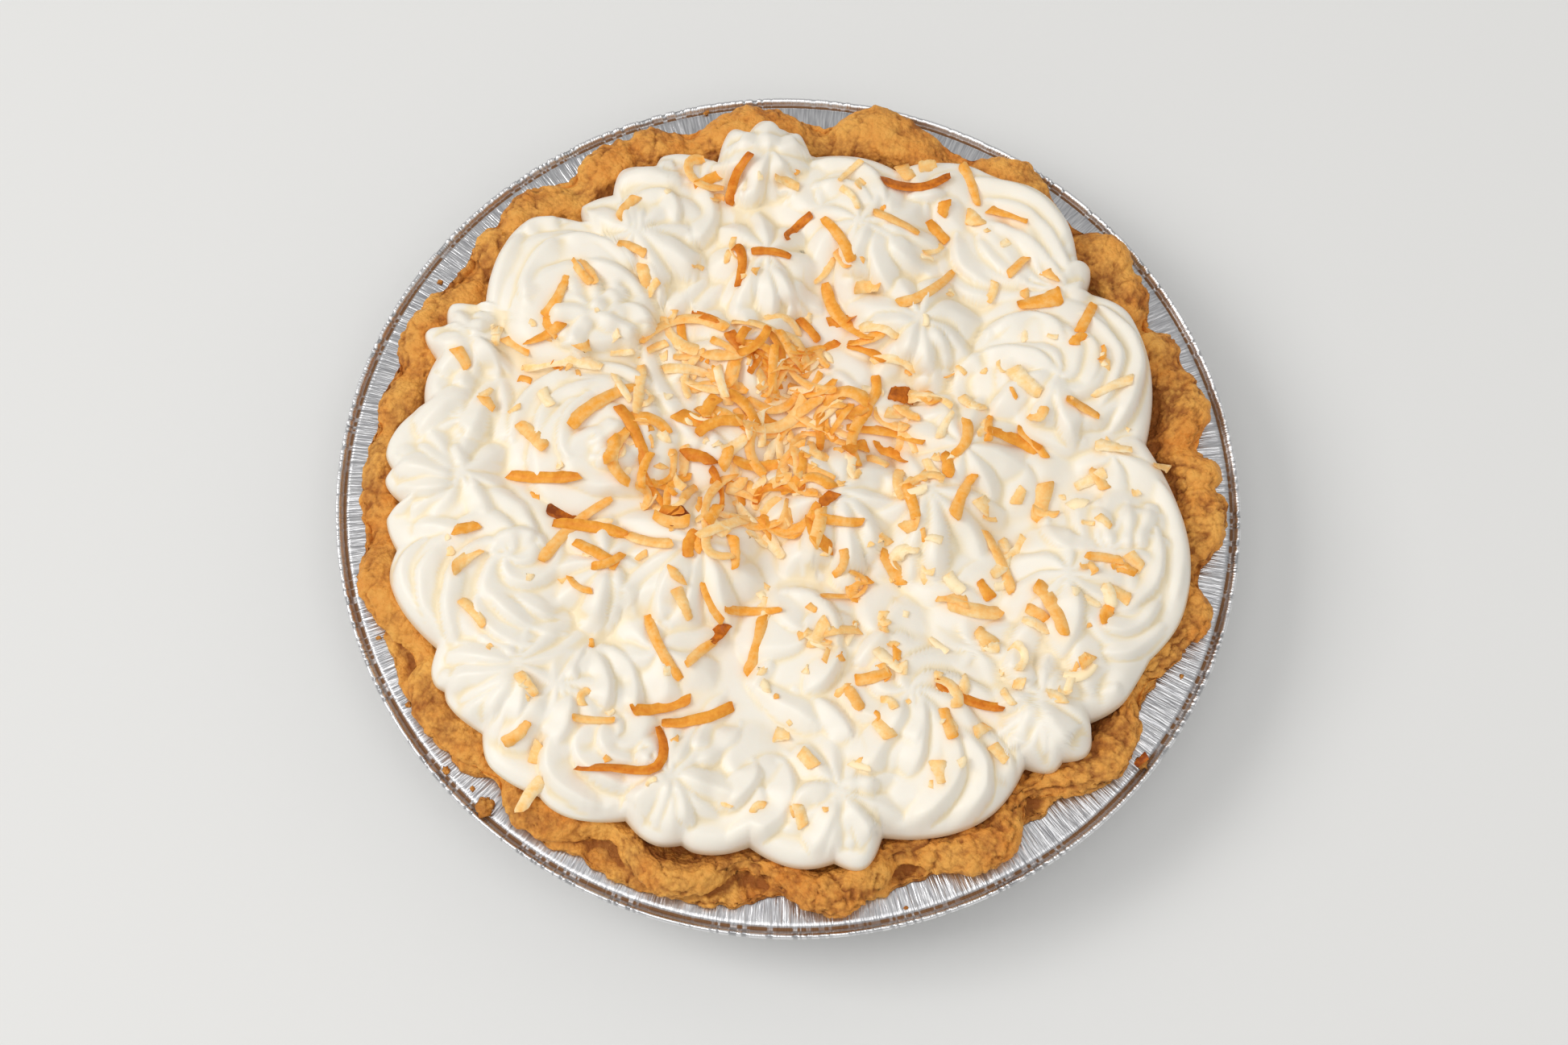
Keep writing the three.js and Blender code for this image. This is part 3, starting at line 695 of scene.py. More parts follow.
# %% Ropes
# Start, middle and end places on the sheet, and half the width at the start and at the end.
ROPES = [
    (-12, 99, -12.5, 102, -13, 104, 1.6, 3.2), (-13, 99, -18.5, 101, -22, 99.5, 1.6, 3.7),
    (-11, 99, -6, 101.5, -3, 100.5, 1.6, 3.0), (-13, 97, -16, 90, -18, 85, 1.5, 3.0),
    (-11, 97, -7, 90, -6, 84, 1.5, 3.0), (-14, 98, -20, 95, -26, 93, 1.4, 2.5),
    (-54, 84, -45, 88, -35, 86, 3.2, 3.2), (-33, 86, -28, 78, -32, 71, 2.6, 3.0),
    (-49, 80, -40, 82, -38, 74, 1.8, 2.2), (-44, 91, -40, 91.5, -37, 91, 1.8, 1.8),
    (-48, 71, -55, 74, -61, 75.5, 1.6, 2.8), (-46, 71, -46, 74, -46, 77, 1.2, 1.6),
    (-45, 70, -36, 65, -29, 59, 1.8, 3.2), (-46, 68, -41, 60, -38, 53, 1.6, 2.8),
    (-49, 72, -50, 75, -51, 78, 1.2, 1.6), (-84.5, 43, -83.5, 56, -78, 66.5, 2.4, 3.4),
    (-78, 66.5, -73.5, 70.5, -68, 70.5, 3.4, 2.8), (-74, 47, -73.5, 58, -67, 65, 2.4, 2.6),
    (-67, 65, -56, 66, -46, 59, 2.6, 2.2), (-60, 59.5, -52, 57.5, -45, 50, 2.2, 2.4),
    (-44, 60, -41, 55, -40.5, 49, 1.8, 1.8), (-57, 45, -61, 49, -63, 55, 1.2, 1.6),
    (-57, 45, -54, 49, -51, 51, 1.2, 1.8), (-57, 44, -50, 42, -44, 37, 1.4, 2.4),
    (-58, 43, -61, 38, -61.5, 32, 1.3, 2.3), (-50, 46, -45, 46, -43, 42, 1.5, 2.0),
    (-58, 44, -64, 45, -69, 43, 1.3, 2.4), (-90, 35, -93, 38, -95, 40.5, 1.3, 1.9),
    (-91, 34, -96, 33.2, -99, 32.7, 1.3, 2.0), (-89, 35, -88, 38, -87, 40.5, 1.3, 2.1),
    (-90, 33, -94, 28, -96, 23, 1.6, 2.8), (-88, 34, -84, 30, -82, 23, 1.3, 2.2),
    (-90, 31, -90, 25, -90, 20, 1.3, 2.2), (-87, 20, -95, 14, -101, 5, 2.2, 4.0),
    (-84, 18, -86, 11, -88, 6, 2.0, 3.0), (-80, 22, -78, 13, -77, 4, 1.6, 2.4),
    (-90, -6, -97, -4, -104, -2, 1.6, 3.0), (-90, -8, -97, -9, -103.5, -9, 1.4, 2.7),
    (-90, -10, -96, -14, -100, -18, 1.6, 3.3), (-90, -4, -95.5, 0, -98.5, 3, 1.6, 2.8),
    (-88, -4, -89, 0, -90, 2.5, 1.5, 2.5), (-85, -7, -82, -12, -80, -17, 1.6, 3.0),
    (-74, 6, -71, 19, -59, 26, 2.2, 2.4), (-59, 26, -49, 27.5, -40, 23, 2.4, 2.2),
    (-67.5, 8, -65, 18, -55, 23, 1.8, 1.8), (-59, 2, -61, 12, -54, 20.5, 1.4, 1.6),
    (-53, 7, -50, 10, -47, 13, 2.2, 2.4), (-52, 2, -48, 3, -43, 4, 1.8, 2.4),
    (-43, 38, -36, 22, -26, 9, 1.6, 2.0), (-37, 38, -33, 31, -31, 26, 1.4, 3.0),
    (-95, -26, -99.5, -37, -91, -50, 1.5, 2.6), (-90, -27, -94, -37, -87, -51, 1.4, 2.4),
    (-85, -31, -87, -40, -83, -52, 1.4, 2.3), (-79, -40, -76, -46, -66, -51, 1.4, 2.4),
    (-75, -39, -67, -45, -57, -48.5, 1.3, 2.3), (-70, -38, -62, -42, -54, -43.5, 1.2, 2.0),
    (-84, -22, -92, -21, -99, -22, 1.8, 3.0), (-76, -26, -72, -22, -66, -24, 1.6, 3.0),
    (-69, -56, -78, -55.5, -85.5, -55, 1.4, 2.5), (-69, -58, -78, -60.5, -84.5, -62.5, 1.4, 2.4),
    (-69, -59, -76, -64, -81.5, -67.5, 1.4, 2.5), (-68, -60, -72, -66, -75, -73, 1.5, 3.0),
    (-68, -54.5, -73, -52.5, -78, -50.5, 1.3, 1.9), (-66, -60, -66.5, -66, -68, -74, 1.4, 3.4),
    (-49, -53, -45.5, -60, -46, -67, 1.6, 2.8), (-46, -52, -39, -58, -38.5, -68, 1.5, 2.9),
    (-51, -52, -52.5, -56, -54, -60, 1.2, 1.3), (-54, -65, -55, -72, -58, -79, 1.5, 3.4),
    (-60, -66, -65, -73, -68, -81, 1.5, 4.0), (-54, -75, -54.5, -85, -42, -92.5, 2.4, 3.4),
    (-47, -73, -48.5, -80, -37, -86, 1.5, 2.8), (-43, -72, -42, -78, -35, -80, 1.7, 2.4),
    (-33, -78, -32, -79, -31, -80, 2.2, 2.2), (-26, -86, -27.5, -92, -29.5, -98, 1.4, 2.8),
    (-24, -87, -22.5, -92, -22, -97.5, 1.3, 2.6), (-26, -85, -31, -88.5, -34, -93.5, 1.4, 2.6),
    (-23, -84, -15, -86, -8, -88, 1.5, 3.0), (-25, -81, -22, -74, -20, -68, 1.6, 3.0),
    (-19, -80, -14, -76, -10, -71, 1.5, 3.2), (2, -80, 2, -91, -11, -98.5, 2.6, 3.8),
    (-5, -80, -6, -84, -12, -90, 1.6, 3.0), (16, -89, 14, -95, 10, -101.5, 1.6, 4.2),
    (19, -90, 20.5, -95.5, 21, -100.5, 1.3, 2.6), (20, -89, 24, -93.5, 26, -97.5, 1.3, 2.4),
    (15, -86, 10, -87, 8, -93, 1.5, 2.6), (15, -83, 10, -78, 6, -75, 1.4, 2.4),
    (19, -84, 24, -83, 28, -85, 1.4, 2.0), (41, -65, 45.5, -78, 34, -91, 1.5, 4.2),
    (47, -68, 53.5, -79, 45, -91.5, 1.5, 3.4), (52, -67, 59, -74, 60, -81, 1.6, 2.8),
    (36, -61, 37, -69, 33, -80, 1.3, 3.4), (32, -60, 29, -68, 22, -80, 1.5, 4.2),
    (69, -59, 73.5, -64.5, 76.5, -69.5, 1.3, 4.2), (68.3, -59.5, 69.8, -67, 70.2, -73.3, 1.3, 3.1),
    (67, -59, 64.5, -66, 63.3, -71, 1.3, 3.5), (66, -57, 61, -58.5, 57, -61, 1.3, 2.5),
    (70, -55, 72, -52, 73.5, -49, 1.2, 2.3), (66, -55, 64, -52, 62, -48, 1.2, 2.6),
    (75, -26, 75.5, -34, 71, -45, 1.5, 4.0), (80, -38, 80, -46, 84, -54, 1.8, 4.2),
    (86, -52, 87, -56, 84, -60, 2.4, 2.6), (67, -36, 63, -43, 62, -50, 1.8, 3.4),
    (84, -42, 92, -41, 99.5, -34, 1.8, 2.6), (84, -35, 92, -35, 97.5, -28, 1.6, 2.2),
    (97, 5, 103.5, -9, 102, -29, 2.2, 2.4), (97, -9, 97.5, -20, 90, -30, 1.5, 2.0),
    (86, -14, 84.5, -8, 83, -3, 1.3, 2.1), (89.5, -14, 90.5, -8, 90, -2, 1.3, 1.8),
    (80, -14, 74, -13, 70, -9, 1.4, 2.6), (93, -14, 94.5, -8, 96, -3, 1.3, 1.9),
    (69, 37, 60, 41.5, 50, 38, 1.4, 2.6), (50, 38, 45.5, 33, 46.5, 24, 2.6, 2.8),
    (69, 35, 59.5, 30, 55, 20, 1.4, 3.0), (70, 33, 67.5, 26, 66, 19, 1.3, 2.4),
    (71, 33, 73, 25, 77, 17, 1.4, 3.0), (53, 46, 64, 51.5, 71, 46, 2.6, 2.0),
    (82, 55, 91.5, 42, 84, 20, 1.8, 2.8), (77, 53, 86, 42, 80, 27, 1.4, 2.4),
    (74, 49, 80, 42, 76, 32, 1.3, 2.0), (45, 91.5, 61, 89.5, 72, 76, 3.0, 2.8),
    (51, 86, 63, 82, 72, 67, 2.2, 2.2), (51, 79, 61.5, 75, 71, 63.5, 2.4, 1.6),
    (49, 75, 54, 68, 62, 63.5, 2.2, 2.2), (42, 75, 45, 66.5, 54, 61, 1.8, 2.2),
    (38, 69, 42, 61, 53, 57.5, 1.8, 2.2), (2, 94, 14, 94, 19.5, 85, 2.6, 2.8),
    (3, 87, 11.5, 88.5, 16, 82, 2.6, 2.6), (24, 90, 23, 86, 23.5, 81, 2.2, 2.4),
    (28, 88, 32, 89, 37, 90, 2.2, 2.4), (17, 77, 14.5, 69, 13.5, 61, 1.5, 3.0),
    (20, 75, 20.5, 67, 25, 59, 1.3, 2.8), (23, 74, 29, 68, 37, 62.5, 1.4, 3.2),
    (22, 77, 30, 74.5, 38, 71, 1.4, 2.6), (32, 48, 30, 42, 29, 35, 1.4, 3.0),
    (33.5, 47, 34.5, 40, 34.5, 32, 1.2, 2.0), (35, 47, 38.5, 42, 39.5, 35, 1.3, 2.3),
    (31, 49, 24, 48.5, 18, 47, 1.4, 2.4), (10, -6, 8, -16, 8, -26, 1.4, 3.0),
    (14, -6, 16, -16, 16.5, -26, 1.4, 3.0), (17, -6, 22, -14, 25, -21, 1.3, 2.4),
    (36, -5, 34, -16, 34, -28, 1.4, 2.4), (39, -5, 39.5, -16, 40, -28, 1.4, 2.6),
    (-13, 61, -16, 54, -17, 47, 1.4, 2.2), (-11, 61, -9.5, 53, -10.5, 46, 1.4, 2.2),
    (-9, 62, -5, 56, -4, 50, 1.3, 2.2), (-28, -22, -37, -30, -42, -36, 1.5, 2.2),
    (-26, -24, -30, -34, -29, -42, 1.5, 3.2), (-47, -31, -48, -37, -49.5, -44, 1.4, 2.2),
    (-44, -31, -44, -37, -45, -44, 1.3, 1.9), (1, -34, 10, -37, 13.5, -48, 2.0, 2.8),
    (-27, 57, -33, 51, -37.5, 46, 1.8, 3.0), (-22, 55.5, -26, 50.5, -29, 45.5, 1.6, 2.6),
    (-3.5, 57.5, 0.5, 53.5, 6, 50, 1.6, 2.4), (14.5, -46, 12, -53, 6, -58.5, 2.0, 3.2),
    (-7.5, -57.5, 1.5, -62.5, 13, -69.5, 2.2, 3.2), (-13, -62.5, -17, -70, -19, -77.5, 1.8, 3.0),
    (-1.5, -52, -4, -55.5, -7, -61, 1.8, 2.6), (9, -63, 15, -66, 19, -72.5, 1.8, 2.8),
    (28, -41.5, 23.5, -47, 21, -52.5, 1.6, 2.6), (37, -60.5, 37, -66, 35, -72, 1.5, 2.8),
    (9, 31, 14.5, 27.5, 18.5, 23, 1.4, 2.4), (23.5, 21.5, 31.5, 20, 40, 22.5, 1.8, 2.6),
]
print(len(ROPES), "ropes")

# %% Rope paths
ROPE_STEPS = 15
ROPE_SPREAD = 1.28
ROPE_LEVEL = 46.5
ROPE_LOWEST = 38.0
ROPE_LIFT = 0.48
END_SINK = 1.2
SMOOTHINGS = 4


def rope_paths():
    """Places, heights and half widths along every rope.

    The bend is the parabola through the three places. The heights follow the smoothed bed below,
    lifted by ROPE_LIFT of the half width except at the ends, where the rope sinks into the bed.
    """
    table = np.array(ROPES)
    t = np.linspace(0, 1, ROPE_STEPS)
    weights = np.stack([(1 - t) * (1 - 2 * t), 4 * t * (1 - t), t * (2 * t - 1)])
    seen = np.einsum("nkc,kt->ntc", table[:, :6].reshape(-1, 3, 2), weights)
    half = ROPE_SPREAD * (table[:, 6:7] + (table[:, 7:8] - table[:, 6:7]) * np.sqrt(t))
    x, y = under_sight(seen[..., 0], seen[..., 1], ROPE_LEVEL)
    height = cream_bed(x, y)
    for _ in range(SMOOTHINGS):
        height[:, 1:-1] = (height[:, :-2] + 2 * height[:, 1:-1] + height[:, 2:]) / 4
    height = np.maximum(height, ROPE_LOWEST)
    height = height + ROPE_LIFT * half * (1 - END_SINK * np.abs(2 * t - 1) ** 5)
    x, y = under_sight(seen[..., 0], seen[..., 1], height)
    return np.stack([x, y, height, half], 2)


LAID_ROPES = rope_paths()
print("each rope has", ROPE_STEPS, "places")

# %% Places along a rope


def bend_of(path):
    """How sharply a rope turns: twice the sine of the angle between its halves, more than 0 for left."""
    middle = path[ROPE_STEPS // 2, :2]
    first, second = middle - path[0, :2], path[-1, :2] - middle
    cross = first[0] * second[1] - first[1] * second[0]
    return 2 * cross / (np.hypot(*first) * np.hypot(*second))


def nearest_place(x, y, path):
    """What a rope's line is like where it comes nearest to each point.

    Distance from the line, 1 on its left or -1 on its right, height of the crest, half the width.
    """
    start, step = path[:-1], np.diff(path, axis=0)
    dx, dy = x[:, None] - start[:, 0], y[:, None] - start[:, 1]
    share = np.clip((dx * step[:, 0] + dy * step[:, 1]) / (step[:, 0] ** 2 + step[:, 1] ** 2), 0, 1)
    gap = np.hypot(dx - share * step[:, 0], dy - share * step[:, 1])
    nearest = gap.argmin(axis=1)
    row = np.arange(len(x))
    share, gap = share[row, nearest], gap[row, nearest]
    crest = start[nearest, 2] + share * step[nearest, 2]
    half = start[nearest, 3] + share * step[nearest, 3]
    left = step[nearest, 0] * dy[row, nearest] - step[nearest, 1] * dx[row, nearest]
    return gap, np.sign(left), crest, half


print(int(sum(bend_of(path) > 0 for path in LAID_ROPES)), "ropes bend to the left")

# %% Rope heights
ROPE_FLATNESS = 0.66
CREST_SHIFT = 0.5
FALL_OUTSIDE = 3


def rope_height(x, y, path):
    """Height of one rope: crest - ROPE_FLATNESS * half width * arch.

    With s the distance from the crest in half widths, the arch is partly 1 - sqrt(1 - s^2) and
    partly the pleat s^PLEAT_POWER, which gives the crest its edge. The crest of a bent rope lies
    towards its outer side, and the slope that falls from it to the inner side is 0.7 * s^1.4.
    """
    bend = bend_of(path)
    lap = min(abs(bend), 1)
    gap, left, crest, half = nearest_place(x, y, path)
    outward = -left * math.copysign(1, bend) * gap / half - CREST_SHIFT * lap
    s = np.abs(outward) / np.where(outward > 0, 1 - CREST_SHIFT * lap, 1 + CREST_SHIFT * lap)
    inside = np.clip(s, 0, 1)
    round_arch = 1 - np.sqrt(1 - inside**2)
    round_arch = round_arch + CREST_EDGE * (inside**PLEAT_POWER - round_arch)
    lapped_arch = np.where(outward > 0, round_arch, 0.7 * inside**1.4)
    arch = round_arch + lap * (lapped_arch - round_arch) + FALL_OUTSIDE * np.maximum(s - 1, 0)
    return crest - ROPE_FLATNESS * half * arch


print("the crest of the first rope starts at", round(float(LAID_ROPES[0, 0, 2]), 1), "mm")

# %% The cream with its ropes
BED_DROP = 0.5
ROPE_WARP = 0.5
ROPE_SOFTNESS = 0.15
NEARBY = 1.3


def cream_height(x, y):
    """Soft maximum of the lowered bed and all the ropes, on slightly warped coordinates."""
    shape = np.shape(x)
    x, y = np.ravel(x), np.ravel(y)
    height = cream_bed(x, y) - BED_DROP
    wx = x + ROPE_WARP * rough(x, y, 2.0, size=8.0, octaves=2, seed=8)
    wy = y + ROPE_WARP * rough(x, y, 7.0, size=8.0, octaves=2, seed=9)
    for path in LAID_ROPES:
        reach = NEARBY * path[:, 3].max()
        low, high = path[:, :2].min(axis=0) - reach, path[:, :2].max(axis=0) + reach
        near = np.nonzero((wx > low[0]) & (wx < high[0]) & (wy > low[1]) & (wy < high[1]))[0]
        if len(near):
            rope = rope_height(wx[near], wy[near], path)
            height[near] = soft_max(height[near], rope, ROPE_SOFTNESS)
    return height.reshape(shape)


middle_height = float(cream_height(np.zeros(1), np.zeros(1))[0])
print("with its ropes, the middle is at", round(middle_height, 1), "mm")

# %% [markdown]
# The piped cream: the surface
#
# A square grid bent into a disc keeps its cells nearly square and has no pole in the middle.
# Near the outline the surface rolls down in a quarter ellipse and then curls under. A quarter of
# a blur takes the steps out of the grid. Last, every point moves a little out along its normal:
# crests swell round and creases pinch shut, which a plain height never does. How far a point lies
# below its surroundings is kept as `crease`, so that the paint can put painted shade into the creases.

# %% The grid of the disc


def disc_grid(count):
    """Square grid bent to a disc, as the distance from its middle, 0 to 1, and the angle.

    Squares round the middle become circles, and the way along a side becomes an eighth of a turn.
    """
    s = np.linspace(-1, 1, count)
    a, b = np.meshgrid(s, s, indexing="ij")
    wide = np.abs(a) > np.abs(b)
    safe_a = np.where(a == 0, 1e-12, a)
    safe_b = np.where(b == 0, 1e-12, b)
    angle = np.where(wide, np.pi / 4 * b / safe_a, np.pi / 2 - np.pi / 4 * a / safe_b)
    reach = np.where(wide, a, b)
    return np.abs(reach), np.where(reach < 0, angle + np.pi, angle)


print("reach along the middle of a grid of five:", disc_grid(5)[0][2])

# %% The rolled rim
ROLL_WIDTH = 4.8
# Reach of the outline, and the height at which the cream meets the crust there.
EDGE_REACHES = [98, 103, 108, 113]
EDGE_HEIGHTS = [35.0, 36.5, 39.2, 40.5]


def edge_height(reach):
    """The cream meets the crust low where it ends early and rides over it where it reaches far."""
    return np.interp(reach, EDGE_REACHES, EDGE_HEIGHTS)


def cream_top(x, y):
    """Height of the cream with its rolled rim: a quarter ellipse over the last ROLL_WIDTH."""
    reach = np.hypot(x, y)
    edge = cream_edge(np.arctan2(y, x))
    inside = np.clip((edge - reach) / ROLL_WIDTH, 0, 1)
    low = edge_height(edge)
    return low + (cream_height(x, y) - low) * np.sqrt(1 - (1 - inside) ** 2)


print("on the right, the cream meets the crust at", round(float(edge_height(cream_edge(0.0))), 1), "mm")

# %% The curled edge
CREAM_GRID = 302
CREAM_UNDER = CREAM_FLOOR + 0.2
# How far in and down each ring of the curled edge lies from the outline.
CURL_STEPS = [(1.2, -1.8), (3.2, -3.6), (6.0, -5.0)]


def curled_edge(points):
    """Rings inward and down from the border of the grid to one base point, and their faces."""
    number = np.arange(CREAM_GRID**2).reshape(CREAM_GRID, CREAM_GRID)
    sides = [number[:-1, 0], number[-1, :-1], number[:0:-1, -1], number[0, :0:-1]]
    rows = [np.concatenate(sides)]
    edge = points[rows[0]]
    length = np.hypot(edge[:, 0], edge[:, 1])
    rings, faces = [], []
    for inward, down in CURL_STEPS:
        ring = edge.copy()
        ring[:, :2] *= ((length - inward) / length)[:, None]
        ring[:, 2] = np.maximum(ring[:, 2] + down, CREAM_UNDER)
        rows.append(len(points) + len(rings) * len(edge) + np.arange(len(edge)))
        rings.append(ring)
        upper, lower = rows[-2:]
        faces.append(np.stack([upper, lower, np.roll(lower, -1), np.roll(upper, -1)], 1))
    base = np.full(len(edge), len(points) + len(rings) * len(edge))
    faces.append(np.stack([rows[-1], base, np.roll(rows[-1], -1)], 1))
    return [*rings, np.array([[0, 0, CREAM_UNDER]])], faces


print("the edge curls", CURL_STEPS[-1][0], "mm inwards")

# %% Cream surface
SWELL = 0.1
CREASE_BLURS = 5
CREASE_DEPTH = 0.3


def blurred(field, passes):
    """Repeated average with the four neighbours."""
    for _ in range(passes):
        padded = np.pad(field, 1, mode="edge")
        field = (padded[:-2, 1:-1] + padded[2:, 1:-1] + padded[1:-1, :-2] + padded[1:-1, 2:] + field) / 5
    return field


def normals_of(points):
    """Unit normals of a grid of points, rows by columns by 3."""
    along = np.gradient(points, axis=0)
    across = np.gradient(points, axis=1)
    normal = np.cross(along, across)
    return normal / np.maximum(np.linalg.norm(normal, axis=2, keepdims=True), 1e-9)


def cream_surface():
    """Points, faces and crease values of the cream: the disc grid, then its curled edge."""
    share, angle = disc_grid(CREAM_GRID)
    reach = share * cream_edge(angle)
    x, y = reach * np.cos(angle), reach * np.sin(angle)
    height = cream_top(x, y)
    height = (3 * height + blurred(height, 1)) / 4
    crease = np.clip((blurred(height, CREASE_BLURS) - height) / CREASE_DEPTH, 0, 1)
    grid = np.stack([x, y, height], 2)
    grid = grid + SWELL * normals_of(grid)
    grid[..., 2] = np.minimum(grid[..., 2], CREAM_TOP)
    grid = grid.reshape(-1, 3)
    rings, faces = curled_edge(grid)
    points = np.concatenate([grid, *rings])
    crease = np.append(crease, np.zeros(len(points) - len(grid)))
    return points, [grid_faces(CREAM_GRID, CREAM_GRID, False), *faces], crease


print("the cream is a grid of", CREAM_GRID, "by", CREAM_GRID)

# %% [markdown]
# The finish of whipped cream
#
# Whipped cream is almost white, satin rather than shiny, and light wanders a little inside it,
# so its shadows are warm and soft. Subsurface scattering gives that. In the creases the light
# has bounced from cream to cream and comes out a touch yellower and dimmer: the `crease` values
# paint that shade into the colour. The `glow` values, set once the coconut lies, paint a warm glow
# of light onto the cream beside each strip.

# %% Cream paint
CREAM_WHITE = (0.92, 0.868, 0.768)
# The crease colour is painted shade: the yellower, dimmer light in the creases.
CREASE_SHADE_YELLOW = (0.92, 0.785, 0.54)
# The amber is a painted glow of light through the strips, together with their oil.
GLOW_AMBER = (0.94, 0.69, 0.34)


def paint_cream():
    """White, tinted by 0.9 * crease + 0.4 * cloud - 0.2 as painted crease shade and random tone, then by the
    painted glow, with a fine foam as bump.
    """
    paint = Paint("whipped_cream")
    crease_shade_and_tone = (paint.attribute("crease") * 0.9 + paint.noise(14) * 0.4 - 0.2).clip()
    colour = paint.blend(crease_shade_and_tone, CREAM_WHITE, CREASE_SHADE_YELLOW)
    colour = paint.blend(paint.attribute("glow"), colour, GLOW_AMBER)
    foam = paint.noise(1.6, detail=3)
    return paint.finish(
        Base_Color=colour,
        Roughness=0.42,
        Subsurface_Weight=0.12,
        Subsurface_Radius=(1.0, 0.85, 0.7),
        Subsurface_Scale=1.0 * MM,
        Normal=paint.bump(foam, strength=0.12, distance=0.25),
    )


cream_material = paint_cream()
print("cream paint", cream_material.name)

# %% The cream in place
cream_points, faces, crease = cream_surface()
cream = build("piped_cream", cream_points, faces, cream_material, {"crease": crease})
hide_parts("whipped_cream")

# %% [markdown]
# The fluted crust
#
# A finger pushed against the rim of the dough makes a rope that snakes out and in: outward at
# the tips, inward and lower at the notches. Each line of the table is one tip or notch, the small
# dips beside the large ones too, with the reach of the outer side, that of the inner side and the
# height of the crest. A tube bent along a curve would give a rope of one width, but this one
# swells and thins, so its section is a string of control points stretched between those numbers.

# %% Flutes
# Direction in degrees, outer reach, inner reach, crest height: tip, notch, tip, notch...
FLUTES = [
    (0.5, 118.6, 105.0, 38.8), (3.6, 115.2, 104.0, 38.0), (5.6, 116.8, 104.0, 38.2),
    (10, 111.5, 98.5, 36.4), (16, 117.2, 103.5, 38.4), (23.4, 115.6, 103.0, 37.6), (26, 116.0, 103.0, 37.8),
    (29.6, 110.0, 100.0, 36.2), (35, 117.0, 104.0, 38.4), (37.5, 116.8, 104.0, 38.2),
    (42.5, 119.4, 104.5, 39.0), (48.6, 112.2, 102.0, 36.6), (59.5, 119.6, 104.0, 38.6),
    (68, 112.8, 101.0, 36.6), (80.5, 119.8, 103.0, 39.2), (88.5, 111.0, 100.0, 36.6),
    (98.5, 117.2, 104.0, 38.8), (108.5, 111.6, 100.5, 36.6), (114, 117.2, 104.0, 38.4),
    (117, 116.2, 104.0, 37.8), (121, 117.0, 103.0, 38.2), (127.5, 111.8, 98.5, 36.4),
    (135.5, 116.6, 104.0, 38.2), (140, 113.8, 103.0, 37.4), (142.6, 114.9, 103.0, 37.6),
    (147.6, 110.6, 100.0, 36.2), (161, 115.8, 102.5, 38.4), (167, 112.8, 101.5, 37.0),
    (171.5, 115.0, 102.5, 37.6), (175.5, 113.4, 103.0, 37.0), (183, 115.6, 105.0, 37.6),
    (191, 114.6, 102.0, 36.4), (199, 118.0, 106.0, 38.8), (210, 111.0, 101.5, 36.2),
    (217, 118.2, 105.5, 38.8), (230.8, 112.6, 103.0, 36.6), (237.5, 118.4, 107.0, 38.8),
    (248, 109.0, 101.0, 36.4), (257.5, 118.4, 108.0, 39.4), (267.5, 107.6, 99.8, 36.6),
    (279, 118.6, 107.5, 39.4), (289, 108.2, 99.0, 36.8), (300, 117.7, 105.0, 38.8),
    (309, 107.6, 98.6, 36.6), (320.5, 117.6, 105.0, 39.0), (332, 109.5, 102.5, 36.6),
    (346, 117.6, 106.0, 38.8), (350, 112.8, 103.0, 37.0),
]
# Direction and reach of the flat skirt that lies on the tin under the rope.
SKIRT = [
    (0, 111.5), (150, 112.0), (165, 114.0), (205, 115.6), (226, 116.6), (230.8, 112.0), (236, 116.0),
    (245, 116.6), (258, 116.8), (265, 116.4), (271, 113.0), (283, 114.0), (290, 113.6), (296, 112.0),
    (308, 111.2), (330, 110.5), (360, 111.5),
]
OUTER_ROUND = 0.6
INNER_ROUND = 0.3


def around(table, column, angle, tip_round):
    """A column of a table of directions, eased between its lines and closed over the full turn.

    The easing is partly (1 - cos(pi * t)) / 2 and, by tip_round, partly the quarter sine that
    makes the tips broad and the notches sharp.
    """
    table = np.array(table, float)
    knots = np.concatenate([table[-1:, 0] - 360, table[:, 0], table[:1, 0] + 360])
    values = np.concatenate([table[-1:, column], table[:, column], table[:1, column]])
    degrees = np.degrees(angle) % 360
    place = np.clip(np.searchsorted(knots, degrees, side="right") - 1, 0, len(knots) - 2)
    t = (degrees - knots[place]) / (knots[place + 1] - knots[place])
    rising = values[place + 1] > values[place]
    wave = (1 - np.cos(np.pi * t)) / 2
    lobe = np.where(rising, np.sin(np.pi * t / 2), 1 - np.cos(np.pi * t / 2))
    share = wave + (lobe - wave) * tip_round
    return values[place] + (values[place + 1] - values[place]) * share


reaches = around(FLUTES, 1, np.radians([3, 11, 80, 269]), OUTER_ROUND)
print("outer reach of the crust at four tips and notches", np.round(reaches, 1))

# %% [markdown]
# The crust: its section
#
# A spline through the control points gives smooth rows, from the dough under the cream over the
# rope to the thin skirt that lies on the tin. Where the skirt reaches further out than the rope,
# a valley runs between them, and where it doesn't, the rope overhangs the tin.

# %% Rings and splines


def spline_rows(control, rows):
    """Catmull-Rom spline: each row is a sum of four neighbouring control rings."""
    last = len(control) - 1
    place = np.linspace(0, last, rows)
    k = np.minimum(place.astype(int), last - 1)
    t = (place - k)[:, None, None]
    near = [control[np.clip(k + d, 0, last)] for d in (-1, 0, 1, 2)]
    weights = [
        (-t + 2 * t**2 - t**3) / 2,
        (2 - 5 * t**2 + 3 * t**3) / 2,
        (t + 4 * t**2 - 3 * t**3) / 2,
        (t**3 - t**2) / 2,
    ]
    return sum(w * c for w, c in zip(weights, near))


def rings_of(section, angle):
    """Rings round the axis, one for each pair of reach and height: reach * cos, reach * sin, height."""
    cos, sin = np.cos(angle), np.sin(angle)
    rings = [[reach * cos, reach * sin, height + 0 * cos] for reach, height in section]
    return np.array(rings).transpose(0, 2, 1)


hill = spline_rows(rings_of([(0, 0), (1, 1), (2, 0)], np.zeros(1)), 5)[:, 0, 2]
print("a spline over a hill of 1 passes", np.round(hill, 2))

# %% Crust rows
CRUST_COLUMNS = 1300
CRUST_ROWS = 60
CRUST_HIDDEN = 30.8
CRUST_UNDER = 30.7
ROPE_RING = 115
SKIRT_RING = 110


